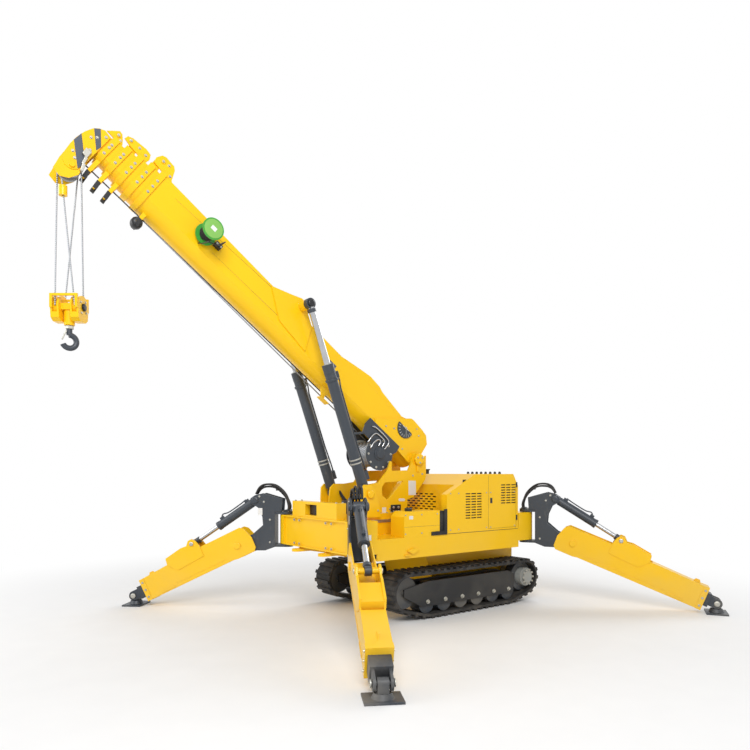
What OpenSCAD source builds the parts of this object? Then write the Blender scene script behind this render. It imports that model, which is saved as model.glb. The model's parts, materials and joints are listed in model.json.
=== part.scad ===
// Tracked spider crane with a six-section telescopic boom and four swing-out legs.
// Origin on the ground under the slewing axis, +X forward, +Y left, +Z up, in millimetres.

/* [Chassis] */
// Width over the deck, the engine housing and the tracks
deck_w = 1700; // [1660:10:1760]
// Front face of the front cross beam
beam_front_x = 750; // [740:5:780]
// Rear face of the rear cross beam
beam_rear_x = -2325; // [-2360:5:-2300]
// Depth of each cross beam, front to back
beam_d = 340; // [320:5:380]
// Underside of the cross beams
beam_z = 839; // [830:1:850]
// Height of the cross beams with their flanges
beam_h = 376; // [360:2:384]
// Thickness of a beam's top and bottom flange
flange_t = 20; // [14:1:26]
// Top of the deck
deck_z = 1000; // [980:5:1010]
// Lower edge of the deck's side skirts
skirt_z = 755; // [740:5:780]
// Wall of the deck and its skirts
deck_wall = 20; // [14:1:24]
// Inset of each leg's upright pin from the beam's faces
pin_inset = 85; // [80:1:95]
// Width of the box between the tracks
hull_w = 940; // [880:10:960]

/* [Tracks] */
// Width of each rubber track
track_w = 330; // [300:5:340]
// Centre of the front idler
idler_x = -60; // [-80:5:-40]
// Centre of the rear sprocket
sprocket_x = -2150; // [-2170:5:-2130]
// Height of the idler's and the sprocket's centres
axle_z = 335; // [328:1:345]
// Radius of the track over its lugs at the idler and sprocket
track_r = 250; // [240:2:255]
// First and last road roller
first_roller_x = -390; // [-410:5:-370]
// Spacing of the six road rollers
roller_pitch = 290; // [280:2:294]
// Thickness of the belt under the lugs
belt_t = 30; // [24:1:36]
// Height of a lug
lug_h = 24; // [16:1:28]
// Length of a lug along the belt
lug_l = 46; // [36:2:56]
// Spacing of the lugs
lug_pitch = 104; // [96:2:120]

/* [Engine housing] */
// Front edge of the side panels
housing_front_x = -660; // [-680:5:-640]
// Rear face of the housing
housing_rear_x = -1975; // [-1980:5:-1940]
// Top of the housing
housing_z = 1740; // [1720:5:1750]
// Wall of the housing
panel_t = 12; // [8:1:16]
// Radius that stays free for the turret's tail
tail_clear_r = 885; // [875:1:900]
// Length of one louvre slot
slot_l = 88; // [70:1:92]
// Height of one louvre slot
slot_h = 14; // [10:1:18]
// Spacing of the louvre slots
slot_pitch = 34; // [30:1:38]

/* [Turret] */
// Outer radius of the slewing ring
ring_r = 400; // [390:2:404]
// Underside of the turret's floor plate
floor_z = 1185; // [1180:1:1195]
// Thickness of the turret's floor plate
floor_t = 38; // [30:1:44]
// Distance between the turret's side plates
plate_gap = 506; // [500:2:512]
// Thickness of a side plate
plate_t = 24; // [18:1:26]
// Boom foot pin, fore and aft
foot_x = -680; // [-690:1:-670]
// Boom foot pin, height
foot_z = 1930; // [1920:1:1940]
// Radius of the boom foot pin
foot_pin_r = 50; // [40:1:56]

/* [Boom] */
// Angle of the boom above level as it stands
luff_rest = 36.5; // [30:0.5:45]
// Width of the base section
base_w = 360; // [356:1:364]
// Height of the base section's flat sides
base_h = 320; // [312:1:326]
// Depth of the base section's curved belly
belly_d = 100; // [90:1:104]
// Sheet of each boom section
boom_wall = 6; // [5:0.5:8]
// Step from one section to the next, each side
nest_step = 18; // [17:0.5:19]
// Front end of the base section, along the boom
base_len = 4345; // [4300:5:4360]
// Distance between the front ends of neighbouring sections
collar_pitch = 122; // [116:1:126]
// Length of a section's collar
collar_l = 62; // [50:1:80]
// Height of a collar above its section
collar_t = 15; // [8:1:16]

/* [Luffing cylinders] */
// Distance of each cylinder from the centre plane
luff_y = 355; // [352:1:360]
// Base pin, fore and aft
luff_base_x = 220; // [210:2:230]
// Base pin, height
luff_base_z = 1500; // [1490:2:1510]
// Rod pin, along the boom
luff_pin_s = 2386; // [2370:2:2400]
// Rod pin, above the boom's axis
luff_pin_h = 400; // [396:1:410]
// Radius of a barrel
luff_barrel_r = 66; // [62:1:70]
// Base pin to the front of the gland
luff_barrel_l = 1600; // [1560:5:1620]
// Radius of a rod
luff_rod_r = 38; // [32:1:42]

/* [Winch and hook] */
// Drum centre, along the boom
drum_s = 500; // [490:5:510]
// Drum centre below the boom's axis
drum_drop = 292; // [288:1:298]
// Radius of the drum's flanges
drum_flange_r = 188; // [170:2:192]
// Radius over the rope on the drum
drum_rope_r = 148; // [120:2:152]
// Head sheaves, along the boom
head_s = 4920; // [4915:1:4925]
// Head sheaves below the boom's axis
head_drop = 270; // [266:1:276]
// Radius of the head sheaves
sheave_r = 98; // [90:1:102]
// Height of the hook block's axle as it hangs
block_z = 3322; // [3300:5:3340]
// Angle of the hanging block to the boom
block_turn = 53; // [0:1:90]
// Radius of the rope
rope_r = 7; // [5:0.5:8]
// Lowest point of the hook
hook_z = 2912; // [2900:2:2920]

/* [Legs] */
// Height of the leg's pivot
leg_pivot_z = 810; // [800:2:820]
// Leg's pivot from the upright pin
leg_pivot_r = 630; // [620:2:640]
// Height of the foot's pivot as it stands
foot_pivot_z = 130; // [124:1:140]
// Depth of the outer leg tube
leg_h = 296; // [270:2:300]
// Width of the outer leg tube
leg_w = 226; // [220:2:230]
// Wall of the outer leg tube
leg_wall = 12; // [8:1:14]
// Clearance round the inner leg
leg_slip = 6; // [5:0.5:8]
// Top pin of the leg cylinder, from the upright pin
ram_top_r = 400; // [390:2:410]
// Top pin of the leg cylinder, height
ram_top_z = 1400; // [1390:2:1404]
// Rod pin of the leg cylinder, along the leg
ram_pin_s = 540; // [530:2:550]
// Rod pin of the leg cylinder, above the leg's axis
ram_pin_h = 280; // [276:1:290]
// Radius of the leg cylinder's barrel
ram_barrel_r = 56; // [48:1:60]
// Top pin to the front of the gland
ram_barrel_l = 610; // [590:2:620]
// Radius of the leg cylinder's rod
ram_rod_r = 30; // [26:1:34]
// Radius of the foot pad
pad_r = 158; // [150:2:166]

/* [Hidden] */

YELLOW = "gold";
DARK = "#33363a";
STEEL = "silver";
RUN = 0.05;   // radial clearance of a shaft in its bore
GAP = 6;      // clearance between pieces that pass each other
CUT = 1;      // overrun of a cut past the face it opens
SEAT = 0.3;   // gap of a fixed piece at its seat

half_w = deck_w / 2;
beam_top_z = beam_z + beam_h;
beam_back_x = beam_front_x - beam_d;
rear_beam_front_x = beam_rear_x + beam_d;
front_pin_x = beam_front_x - pin_inset;
rear_pin_x = beam_rear_x + pin_inset;
pin_y = half_w - pin_inset;

// One row a leg: upright pin's X, side (1 left, -1 right), heading, reach to the foot, tube length
PIN_X = 0;
SIDE = 1;
HEADING = 2;
REACH = 3;
TUBE = 4;
leg_fl_row = [front_pin_x, 1, 60.3, 2200, 1480];
leg_fr_row = [front_pin_x, -1, -42.8, 2045, 1400];
leg_rl_row = [rear_pin_x, 1, 121.2, 2346, 1700];
leg_rr_row = [rear_pin_x, -1, -121.2, 2346, 1700];

function drop_of(row) = atan((leg_pivot_z - foot_pivot_z) / (row[REACH] - leg_pivot_r));
function length_of(row) = (row[REACH] - leg_pivot_r) / cos(drop_of(row));

// Shared forms

// A flat plate standing fore and aft, centred at y, from an outline in X and Z
module plate_xz(y, t) {
    translate([0, y + t / 2, 0])
        rotate([90, 0, 0])
            linear_extrude(t)
                children();
}

// A round bar along Y between y0 and y1
module bar_y(x, z, r, y0, y1) {
    translate([x, y0, z])
        rotate([-90, 0, 0])
            cylinder(r = r, h = y1 - y0, $fn = 48);
}

// A cross-section in Y and Z carried along X from x0 over length l
module along_x(x0, l) {
    translate([x0, 0, 0])
        rotate([90, 0, 90])
            linear_extrude(l)
                children();
}

module both_sides() {
    children();
    mirror([0, 1, 0])
        children();
}

// The boom's own frame: X along the boom from the foot pin, Z square to it
module on_boom() {
    translate([foot_x, 0, foot_z])
        rotate([0, -luff_rest, 0])
            children();
}

// A leg's own frame: X away from the upright pin
module at_leg(row) {
    translate([row[PIN_X], row[SIDE] * pin_y, 0])
        rotate([0, 0, row[HEADING]])
            children();
}

// Along the dropped leg: X from the leg's pivot to the foot's pivot
module on_leg(row) {
    at_leg(row)
        translate([leg_pivot_r, 0, leg_pivot_z])
            rotate([0, drop_of(row), 0])
                children();
}

// Chassis

module cross_beam(x0) {
    translate([x0, -half_w + pin_inset, beam_z])
        cube([beam_d, deck_w - 2 * pin_inset, beam_h]);
}

// The beam's ends are round about the upright pins
module beam_end(pin_x, back_x) {
    x0 = min(pin_x, back_x);
    both_sides() {
        translate([pin_x, pin_y, beam_z])
            cylinder(r = pin_inset, h = beam_h, $fn = 64);
        translate([x0, pin_y - CUT, beam_z])
            cube([abs(back_x - pin_x), pin_inset + CUT, beam_h]);
    }
}

module beam_web(x0) {
    both_sides()
        for (x = [x0 - CUT, x0 + beam_d - web_inset])
            translate([x, -CUT, beam_z + flange_t])
                cube([web_inset + CUT, pin_y - web_end, beam_h - 2 * flange_t]);
}
web_inset = 22;
web_end = 70;
upright_r = 45;

module chassis_frame() {
    color(YELLOW)
        difference() {
            union() {
                cross_beam(beam_back_x);
                beam_end(front_pin_x, beam_back_x);
                cross_beam(beam_rear_x);
                beam_end(rear_pin_x, rear_beam_front_x);
                translate([rear_beam_front_x - CUT, -half_w, deck_z - deck_floor])
                    cube([beam_back_x - rear_beam_front_x + 2 * CUT, deck_w, deck_floor]);
                both_sides()
                    translate([rear_beam_front_x - CUT, half_w - deck_wall, skirt_z])
                        cube([beam_back_x - rear_beam_front_x + 2 * CUT, deck_wall, deck_z - skirt_z]);
                both_sides()
                    translate([rear_beam_front_x, half_w - skirt_lip, skirt_z])
                        cube([beam_back_x - rear_beam_front_x, skirt_lip, deck_wall]);
                plate_xz(0, hull_w)
                    polygon([[hull_rear_x, hull_z], [hull_front_x, hull_z], [hull_front_x + 130, 700],
                             [beam_back_x + CUT, 800], [beam_back_x + CUT, deck_z], [hull_rear_x, deck_z]]);
                translate([0, 0, deck_z - CUT])
                    cylinder(r = ring_r - 10, h = ring_z - deck_z + CUT, $fn = 96);
                under_plate();
            }
            beam_web(beam_back_x);
            beam_web(beam_rear_x);
            both_sides()
                for (x = [front_pin_x, rear_pin_x])
                    translate([x, pin_y, beam_z - CUT])
                        cylinder(r = upright_r + RUN, h = beam_h + 2 * CUT, $fn = 64);
            both_sides()
                translate([tie_x, tie_y, tie_z - CUT])
                    cylinder(r = tie_r, h = under_t + 2 * CUT, $fn = 48);
        }
}
deck_floor = 60;
skirt_lip = 60;
hull_rear_x = rear_beam_front_x - beam_d + 40;
hull_z = 340;
hull_front_x = -780;
ring_z = 1150;
under_t = 30;
tie_r = 32;
tie_x = beam_front_x + 34;
tie_y = 300;
tie_z = beam_z - 50;

// The plate under the front beam, with an eye for tying down at each side
module under_plate() {
    both_sides() {
        plate_xz(tie_y, 2 * tie_boss_r)
            polygon([[beam_back_x, beam_z + CUT], [beam_back_x, tie_z - 40],
                     [beam_front_x - 120, tie_z], [tie_x, tie_z],
                     [tie_x, tie_z + under_t], [beam_front_x - 20, tie_z + under_t],
                     [beam_front_x - 60, beam_z + CUT]]);
        translate([tie_x, tie_y, tie_z])
            cylinder(r = tie_boss_r, h = under_t, $fn = 48);
    }
}
tie_boss_r = 62;

// Box with a window on top of the front beam
module front_box() {
    color(YELLOW)
        difference() {
            translate([front_box_x, -front_box_w / 2, beam_top_z])
                cube([front_box_d, front_box_w, front_box_h]);
            translate([front_box_x + front_box_d - 70, -190, beam_top_z + 26])
                cube([70 + CUT, 260, front_box_h - 60]);
        }
}
front_box_x = 600;
front_box_d = 132;
front_box_w = 1000;
front_box_h = 190;

// Fuel and oil tanks between the front beam and the housing
module side_tanks() {
    color(YELLOW)
        both_sides()
            plate_xz(tank_y + tank_w / 2, tank_w)
                polygon([[tank_rear_x, deck_z], [tank_front_x, deck_z], [tank_front_x, tank_z - 60],
                         [tank_front_x - 60, tank_z], [tank_rear_x, tank_z]]);
}
tank_y = 600;
tank_w = half_w - tank_y;
tank_front_x = 20;
tank_rear_x = -540;
tank_z = 1300;

// Tracks

// One row a wheel, against the clock seen from the left: X, Z, outside radius of the belt's face
belt_r = track_r - lug_h;
roller_belt_r = 150;
roller_z = roller_belt_r + lug_h;
last_roller_x = first_roller_x - 5 * roller_pitch;
belt = [[sprocket_x, axle_z, belt_r], [last_roller_x, roller_z, roller_belt_r],
        [first_roller_x, roller_z, roller_belt_r], [idler_x, axle_z, belt_r]];
belt_fn = 48;
// Radius of a wheel that seats inside a belt face of radius r
function seat_r(r) = (r - belt_t) * cos(180 / belt_fn) - SEAT;
wheels = len(belt);
function wheel(i) = belt[(i + wheels) % wheels];
function run_of(i) = norm([wheel(i + 1).x - wheel(i).x, wheel(i + 1).y - wheel(i).y]);
function heading_of(i) = atan2(wheel(i + 1).y - wheel(i).y, wheel(i + 1).x - wheel(i).x);
// Direction square to the free run that leaves wheel i, pointing out of the loop
function normal_of(i) = heading_of(i) - acos((wheel(i)[2] - wheel(i + 1)[2]) / run_of(i));
function out(a) = [cos(a), sin(a)];
function tangent_out(i) = [wheel(i).x, wheel(i).y] + wheel(i)[2] * out(normal_of(i));
function tangent_in(i) = [wheel(i + 1).x, wheel(i + 1).y] + wheel(i + 1)[2] * out(normal_of(i));
function turned(i) = (normal_of(i) - normal_of(i - 1) + 720) % 360;

module belt_face(inset) {
    hull()
        for (w = belt)
            translate([w.x, w.y])
                circle(r = w[2] - inset, $fn = belt_fn);
}

module lug_at(p, a) {
    translate(p)
        rotate([0, 0, a])
            translate([-2, -lug_l / 2])
                square([lug_h + 2, lug_l]);
}

module track_outline() {
    difference() {
        union() {
            belt_face(0);
            for (i = [0:wheels - 1]) {
                free = norm(tangent_in(i) - tangent_out(i));
                n = max(1, round(free / lug_pitch));
                for (k = [0:n - 1])
                    lug_at(tangent_out(i) + (tangent_in(i) - tangent_out(i)) * (k + 0.5) / n, normal_of(i));
                w = wheel(i);
                m = floor(turned(i) * PI / 180 * w[2] / lug_pitch);
                for (k = [0:1:m - 1]) {
                    a = normal_of(i - 1) + turned(i) * (k + 0.5) / m;
                    lug_at([w.x, w.y] + w[2] * out(a), a);
                }
            }
        }
        belt_face(belt_t);
    }
}

track_y = half_w - track_w / 2;

module track(side) {
    color("#26272a")
        plate_xz(side * track_y, track_w)
            track_outline();
}

// Side frames inside the loops, with the idler's fork and the roller carrier
module track_frames() {
    color(DARK)
        both_sides() {
            for (y = [track_y - frame_off, track_y + frame_off])
                plate_xz(y, frame_t)
                    polygon([[first_roller_x + 90, roller_z - 30], [idler_x + 40, axle_z - 45],
                             [idler_x + 40, axle_z + 45], [first_roller_x, axle_z + 110],
                             [sprocket_x + 330, axle_z + 110], [sprocket_x + 200, axle_z + 60],
                             [sprocket_x + 200, axle_z - 60], [last_roller_x - 90, roller_z - 30]]);
            translate([sprocket_x + 340, track_y - frame_off, axle_z + 40])
                cube([first_roller_x - sprocket_x - 360, 2 * frame_off, 50]);
            for (x = [cross_front_x, cross_rear_x])
                translate([x, hull_w / 2, axle_z + 40])
                    cube([160, track_y - frame_off - hull_w / 2, 60]);
        }
}
frame_off = 105;
frame_t = 24;
frame_in = frame_off - frame_t / 2 - SEAT;
cross_front_x = -980;
cross_rear_x = -1760;

// Idlers, sprockets and road rollers on their axles
module track_rollers() {
    color(DARK)
        both_sides() {
            bar_y(idler_x, axle_z, seat_r(belt_r), track_y - 60, track_y + 60);
            bar_y(idler_x, axle_z, 45, track_y - frame_in, track_y + frame_in);
            bar_y(sprocket_x, axle_z, seat_r(belt_r), track_y - 60, track_y + 60);
            for (i = [0:5])
                bar_y(first_roller_x - i * roller_pitch, roller_z, seat_r(roller_belt_r),
                      track_y - frame_in, track_y + frame_in);
        }
}

// Final drives over the sprockets
module drive_covers() {
    color("#8d9094")
        both_sides() {
            bar_y(sprocket_x, axle_z, 120, track_y + 60, half_w - 10);
            bar_y(sprocket_x, axle_z, 82, half_w - 10 - CUT, half_w + 26);
            bar_y(sprocket_x, axle_z, 130, hull_w / 2, track_y - 60);
        }
}

// Engine housing

// Outline of the housing in X and Z, drawn in by d, down to z0
module housing_outline(d, z0) {
    polygon([[housing_rear_x + d, z0], [housing_front_x - d, z0],
             [housing_front_x - d, front_edge_z - 0.3 * d], [slope_x - 0.4 * d, housing_z - d],
             [rear_step_x + 0.4 * d, housing_z - d], [housing_rear_x + d, rear_step_z - 0.3 * d]]);
}
front_edge_z = 1490;
slope_x = -1160;
rear_step_x = -1880;
rear_step_z = 1580;
// Louvre panels, one row each: front column's X, lowest slot's Z, columns, slots
louvres = [[-970, 1178, 3, 10], [-1625, 1350, 3, 8]];

module engine_housing() {
    color(YELLOW)
        difference() {
            plate_xz(0, deck_w)
                housing_outline(0, deck_z);
            difference() {
                plate_xz(0, deck_w - 2 * panel_t)
                    housing_outline(panel_t, deck_z - CUT);
                // Front wall, set back where the turret's tail swings past
                translate([front_wall_x - panel_t, -half_w, deck_z])
                    cube([panel_t, deck_w, housing_z - deck_z]);
            }
            translate([0, 0, deck_z - 2 * CUT])
                cylinder(r = tail_clear_r, h = housing_z, $fn = 128);
            translate([front_wall_x, -grille_w / 2 - 300, deck_z - 2 * CUT])
                cube([300, grille_w + 600, housing_z]);
            translate([front_wall_x - panel_t - CUT, -grille_w / 2, grille_z])
                cube([panel_t + 2 * CUT, grille_w, grille_h]);
            for (p = louvres)
                for (c = [0:p[2] - 1])
                    for (s = [0:p[3] - 1])
                        translate([p[0] - (c + 1) * (slot_l + 14), -half_w - CUT, p[1] + s * slot_pitch])
                            cube([slot_l, deck_w + 2 * CUT, slot_h]);
        }
}
front_wall_x = -tail_clear_r - GAP;
grille_w = 900;
grille_h = 430;
grille_z = 1080;

// Perforated plate in the front wall
module radiator_grille() {
    color(YELLOW)
        difference() {
            translate([front_wall_x - panel_t, -grille_w / 2 + 0.3, grille_z + 0.3])
                cube([panel_t, grille_w - 0.6, grille_h - 0.6]);
            for (k = [0:grille_rows - 1])
                for (i = [0:grille_cols - 1 - k % 2])
                    translate([front_wall_x - panel_t - CUT,
                               (i - (grille_cols - 1 - k % 2) / 2) * grille_pitch - grille_slot / 2,
                               grille_z + grille_h / 2 + (k - (grille_rows - 1) / 2) * grille_row - 8])
                        cube([panel_t + 2 * CUT, grille_slot, 16]);
        }
}
grille_pitch = 104;
grille_slot = 70;
grille_cols = 8;
grille_rows = 12;
grille_row = 33;

// Engine, one plain block at its real place
module engine_block() {
    color("#55585c")
        translate([-1850, -300, deck_z])
            cube([820, 600, 560]);
}

// Levers and their frame on the rear beam
module control_stand() {
    color(DARK) {
        difference() {
            translate([stand_x, -stand_w / 2, beam_top_z])
                cube([stand_d, stand_w, stand_h]);
            translate([stand_x - CUT, -stand_w / 2 + 50, beam_top_z + 60])
                cube([stand_d + 2 * CUT, stand_w - 100, stand_h - 200]);
        }
        for (i = [0:7])
            translate([stand_x + stand_d / 2, (i - 3.5) * 90, beam_top_z + stand_h - CUT])
                cylinder(r = 9, h = 140, $fn = 16);
    }
}
stand_x = beam_rear_x + 40;
stand_d = 160;
stand_w = 860;
stand_h = 380;

// Turret

module slew_ring() {
    color(STEEL)
        difference() {
            translate([0, 0, ring_z])
                cylinder(r = ring_r, h = floor_z - SEAT - ring_z, $fn = 96);
            translate([0, 0, ring_z - CUT])
                cylinder(r = ring_r - 90, h = 100, $fn = 96);
        }
}

plate_y = (plate_gap + plate_t) / 2;
// The round plate turns below the beams' tops, all that is wider stands above them
plinth_z = beam_top_z + GAP;
floor_top_z = plinth_z + floor_t;

// Side plate of the turret, in X and Z
module turret_side() {
    difference() {
        union() {
            polygon([[-440, plinth_z], [330, plinth_z], [342, 1420], [318, 1570], [262, 1617], [100, 1617],
                     [-46, 1636], [-179, 1778], [-206, 1842], [-226, 1904], [-251, 1896], [-254, 1782],
                     [-523, 1788], [-570, 1880], [foot_x + 92, foot_z], [foot_x - 92, foot_z + 10],
                     [-826, 1980], [-828, 1722], [-815, 1668], [-610, 1440], [-510, 1420], [-506, 1330]]);
            translate([foot_x, foot_z])
                circle(r = 96, $fn = 64);
        }
        polygon([[-188, 1411], [-98, 1477], [-98, 1580], [-146, 1636], [-440, 1650]]);
        translate([foot_x, foot_z])
            circle(r = foot_pin_r, $fn = 64);
    }
}

module turret_frame() {
    color(YELLOW) {
        both_sides() {
            plate_xz(plate_y, plate_t)
                turret_side();
            // Outer cheek of the cylinder's foot
            difference() {
                plate_xz(luff_y + 85, plate_t)
                    polygon([[60, plinth_z], [330, plinth_z], [352, 1420], [345, 1570], [300, 1615],
                             [200, 1612], [140, 1550], [60, 1300]]);
                bar_y(luff_base_x, luff_base_z, luff_pin_r, luff_y + 60, luff_y + 120);
            }
            translate([60, plate_y, plinth_z])
                cube([270, luff_y + 85 - plate_y, floor_t]);
            bar_y(luff_base_x, luff_base_z, luff_pin_r, plate_y + plate_t / 2, luff_y + 112);
        }
        translate([-330, -plate_y, plinth_z])
            cube([660, 2 * plate_y, floor_t]);
        translate([0, 0, floor_z])
            cylinder(r = ring_r, h = floor_top_z - floor_z, $fn = 96);
        bar_y(foot_x, foot_z, foot_pin_r, -plate_y - 44, plate_y + 44);
    }
}
luff_pin_r = 32;

module slew_motor() {
    color(DARK)
        translate([250, 0, floor_top_z]) {
            cylinder(r = 90, h = 60, $fn = 48);
            translate([0, 0, 60 - CUT])
                cylinder(r = 60, h = 90, $fn = 48);
        }
}

// Boom

// Cross-section in Y and Z of section i, drawn in by d: flat sides over a curved belly
module boom_shape(i, d) {
    hw = base_w / 2 - i * nest_step - d;
    top = base_h - i * nest_step - d;
    low = low_step * i;
    sag = belly_sag(i) - d;
    r = (hw * hw + sag * sag) / (2 * sag);
    intersection() {
        translate([-hw, low - 2 * sag])
            square([2 * hw, top - low + 2 * sag]);
        union() {
            translate([0, low - sag + r])
                circle(r = r, $fn = 96);
            translate([-2 * hw, low + CUT])
                square([4 * hw, top - low]);
        }
    }
}
low_step = 4;

module boom_tube(i, x0, x1) {
    along_x(x0, x1 - x0)
        difference() {
            boom_shape(i, 0);
            boom_shape(i, boom_wall);
        }
}

module boom_collar(i, x1) {
    along_x(x1 - collar_l, collar_l)
        difference() {
            boom_shape(i, -collar_t);
            boom_shape(i, i < 5 ? nest_step - SEAT : boom_wall);
        }
}

function section_end(i) = base_len + i * collar_pitch;

// Height of section i's belly at y from the centre plane
function belly_sag(i) = low_step * i + belly_d - i * nest_step;
function belly_r(i) = (pow(base_w / 2 - i * nest_step, 2) + pow(belly_sag(i), 2)) / (2 * belly_sag(i));
function belly_z(i, y) = low_step * i - belly_sag(i) + belly_r(i) - sqrt(pow(belly_r(i), 2) - y * y);

// Rope guide under a collar: two prongs and, at r above 0, a bar between their tips
module rope_guide(i, s, drop, r) {
    top = belly_z(i, guide_y) + (i > 0 ? 6 : 1.5);
    both_sides()
        plate_xz(guide_y, 10)
            polygon([[s - 22, top], [s + 22, top], [s + 16, -drop], [s - 16, -drop]]);
    if (r > 0)
        bar_y(s, -drop + r + 4, r, -guide_y, guide_y);
}
guide_y = 60;
guide_s = 4200;

// Plates that stand on a collar and carry the rope clips, with a boss at pin
module collar_plate(i, outline, pin, r) {
    y = base_w / 2 - i * nest_step - 20;
    both_sides() {
        plate_xz(y, 12)
            polygon(outline);
        bar_y(pin.x, pin.y, r, y + 5, y + (i % 2 == 0 ? 15 : 9));
    }
}

// Tail cheek round the foot pin, along and square to the boom
module tail_cheek() {
    difference() {
        union() {
            polygon([[-60, -20], [60, -90], [770, -26], [812, 30], [352, 404], [300, 412], [110, 400],
                     [20, 384], [-62, 300]]);
            circle(r = 92, $fn = 64);
        }
        circle(r = foot_pin_r + RUN, $fn = 64);
    }
}

// Saddle that takes the rods of the luffing cylinders
module saddle() {
    both_sides()
        plate_xz(base_w / 2 + 9, 18 + 2 * CUT)
            polygon([[luff_pin_s - 330, 10], [luff_pin_s + 120, 60], [luff_pin_s + 420, base_h - 20],
                     [luff_pin_s + 200, luff_pin_h], [luff_pin_s + 60, luff_pin_h + 70],
                     [luff_pin_s - 40, luff_pin_h + 80], [luff_pin_s - 80, luff_pin_h],
                     [luff_pin_s - 230, base_h - 20]]);
    bar_y(luff_pin_s, luff_pin_h, 60, -(luff_y - eye_half - GAP), luff_y - eye_half - GAP);
}
eye_half = 32;

module boom_section_1() {
    color(YELLOW)
        on_boom() {
            difference() {
                union() {
                    boom_tube(0, -40, base_len);
                    both_sides()
                        plate_xz(base_w / 2 + 12, 24 + 2 * CUT)
                            tail_cheek();
                    both_sides()
                        bar_y(0, 0, 86, base_w / 2 - 40, plate_gap / 2 - GAP);
                }
                bar_y(0, 0, foot_pin_r + RUN, -plate_gap, plate_gap);
            }
            boom_collar(0, base_len);
            // Doubler over the tail, which makes a hump
            plate_xz(0, base_w - 8)
                polygon([[60, base_h - CUT], [110, 384], [300, 396], [480, 338], [907, 384], [976, 409],
                         [1157, 419], [1307, 391], [1552, 340], [1640, base_h - CUT]]);
            saddle();
            collar_plate(0, [[4205, 319], [4226, 345], [4262, 448], [4292, 478], [4400, 486], [4434, 468],
                             [4462, 405], [4452, 350], [4344, 334], [4344, 319]],
                         [4392, 425], 22);
            rope_guide(0, guide_s, 215, 0);
            // Stub axle of the cable reel
            bar_y(reel_s, reel_h, reel_pin_r, base_w / 2 - CUT, base_w / 2 + 110);
        }
}

// Angle gauge and roller, dark pieces on the base section
module boom_fittings() {
    color(DARK)
        on_boom() {
            plate_xz(base_w / 2 + 24 + 8, 14)
                difference() {
                    translate([360, 234])
                        circle(r = 130, $fn = 64);
                    translate([160, 240])
                        square([400, 200]);
                }
            bar_y(guide_s, -185, 34, -guide_y + 5 + SEAT, guide_y - 5 - SEAT);
        }
}

module inner_section(i) {
    color(YELLOW)
        on_boom() {
            boom_tube(i, tail_start + i * tail_step, section_end(i));
            boom_collar(i, section_end(i));
        }
}
tail_start = 300;
tail_step = 40;

module boom_section_2() {
    inner_section(1);
    color(YELLOW)
        on_boom()
            collar_plate(1, [[4372, 301], [4384, 402], [4404, 424], [4440, 424], [4458, 398], [4458, 301]],
                         [4420, 385], 15);
}

module boom_section_3() {
    inner_section(2);
    color(YELLOW)
        on_boom() {
            collar_plate(2, [[4500, 283], [4490, 345], [4512, 396], [4572, 407], [4716, 385], [4760, 360],
                             [4766, 318], [4700, 302], [4588, 292], [4588, 283]],
                         [4715, 345], 19);
            rope_guide(2, section_end(2) - 39, 240, 12);
        }
}

module boom_section_4() {
    inner_section(3);
    color(YELLOW)
        on_boom() {
            collar_plate(3, [[4612, 265], [4622, 332], [4640, 352], [4688, 348], [4700, 322], [4700, 265]],
                         [4660, 312], 15);
            rope_guide(3, section_end(3) - 39, 235, 12);
        }
}

module boom_section_5() {
    inner_section(4);
    color(YELLOW)
        on_boom() {
            collar_plate(4, [[4738, 247], [4744, 268], [4768, 305], [4806, 350], [4838, 356], [4882, 302],
                             [4916, 256], [4832, 252], [4832, 247]],
                         [4822, 310], 19);
            rope_guide(4, section_end(4) - 39, 230, 12);
        }
}

// The last section carries the head
module boom_section_6() {
    color(YELLOW)
        on_boom() {
            boom_tube(5, tail_start + 5 * tail_step, head_root + 40);
            both_sides()
                difference() {
                    union() {
                        plate_xz(head_y, 16)
                            polygon([[head_root, 226], [4925, 236], [4972, 205], [5006, 158], [5034, 70],
                                     [5048, -35], [5047, -120], [5038, -195], [5020, -262], [4996, -300],
                                     [4962, -318], [4925, -316], [4886, -297], [4862, -262], [4850, -120]]);
                        plate_xz(head_y - 4, 8)
                            polygon([[4840, -150], [5038, -195], [5030, -300], [5008, -420], [4925, -436],
                                     [4862, -388], [4826, -300]]);
                    }
                    bar_y(head_s, -head_drop, head_pin_r, -200, 200);
                }
            // Wrapper round the front between the cheeks
            plate_xz(0, 2 * (head_y - 8) + 2 * CUT)
                polygon([[4860, 232], [4924, 236], [4972, 205], [5006, 158], [5034, 70], [5048, -35],
                         [5047, -120], [5038, -195], [5034, -236], [5028, -236], [5032, -195], [5040, -120],
                         [5040, -35], [5026, 68], [4999, 154], [4966, 199], [4921, 228], [4860, 224]]);
            bar_y(head_s, -head_drop, head_pin_r, -head_y - 26, head_y + 26);
            translate([head_root, -head_y, 200])
                cube([90, 2 * head_y, 14]);
        }
}
head_root = 4850;
head_y = 98;
head_pin_r = 26;

// Winch

module winch_frame() {
    color(DARK)
        on_boom() {
            both_sides()
                plate_xz(winch_y, winch_t)
                    difference() {
                        union() {
                            translate([drum_s, -drum_drop])
                                circle(r = 206, $fn = 96);
                            polygon([[300, -20], [880, -20], [900, -120], [868, -236], [700, -240],
                                     [400, -200], [326, -162], [300, -112]]);
                        }
                        translate([drum_s, -drum_drop])
                            circle(r = drum_pin_r, $fn = 48);
                    }
            both_sides()
                bar_y(drum_s, -drum_drop, drum_pin_r, winch_y - 60, winch_y + 8);
            for (p = [[820, -205], [344, -128]])
                bar_y(p[0], p[1], 16, -winch_y, winch_y);
        }
}
winch_t = 14;
winch_y = base_w / 2 + 25 + SEAT + winch_t / 2;
drum_pin_r = 30;

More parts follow.
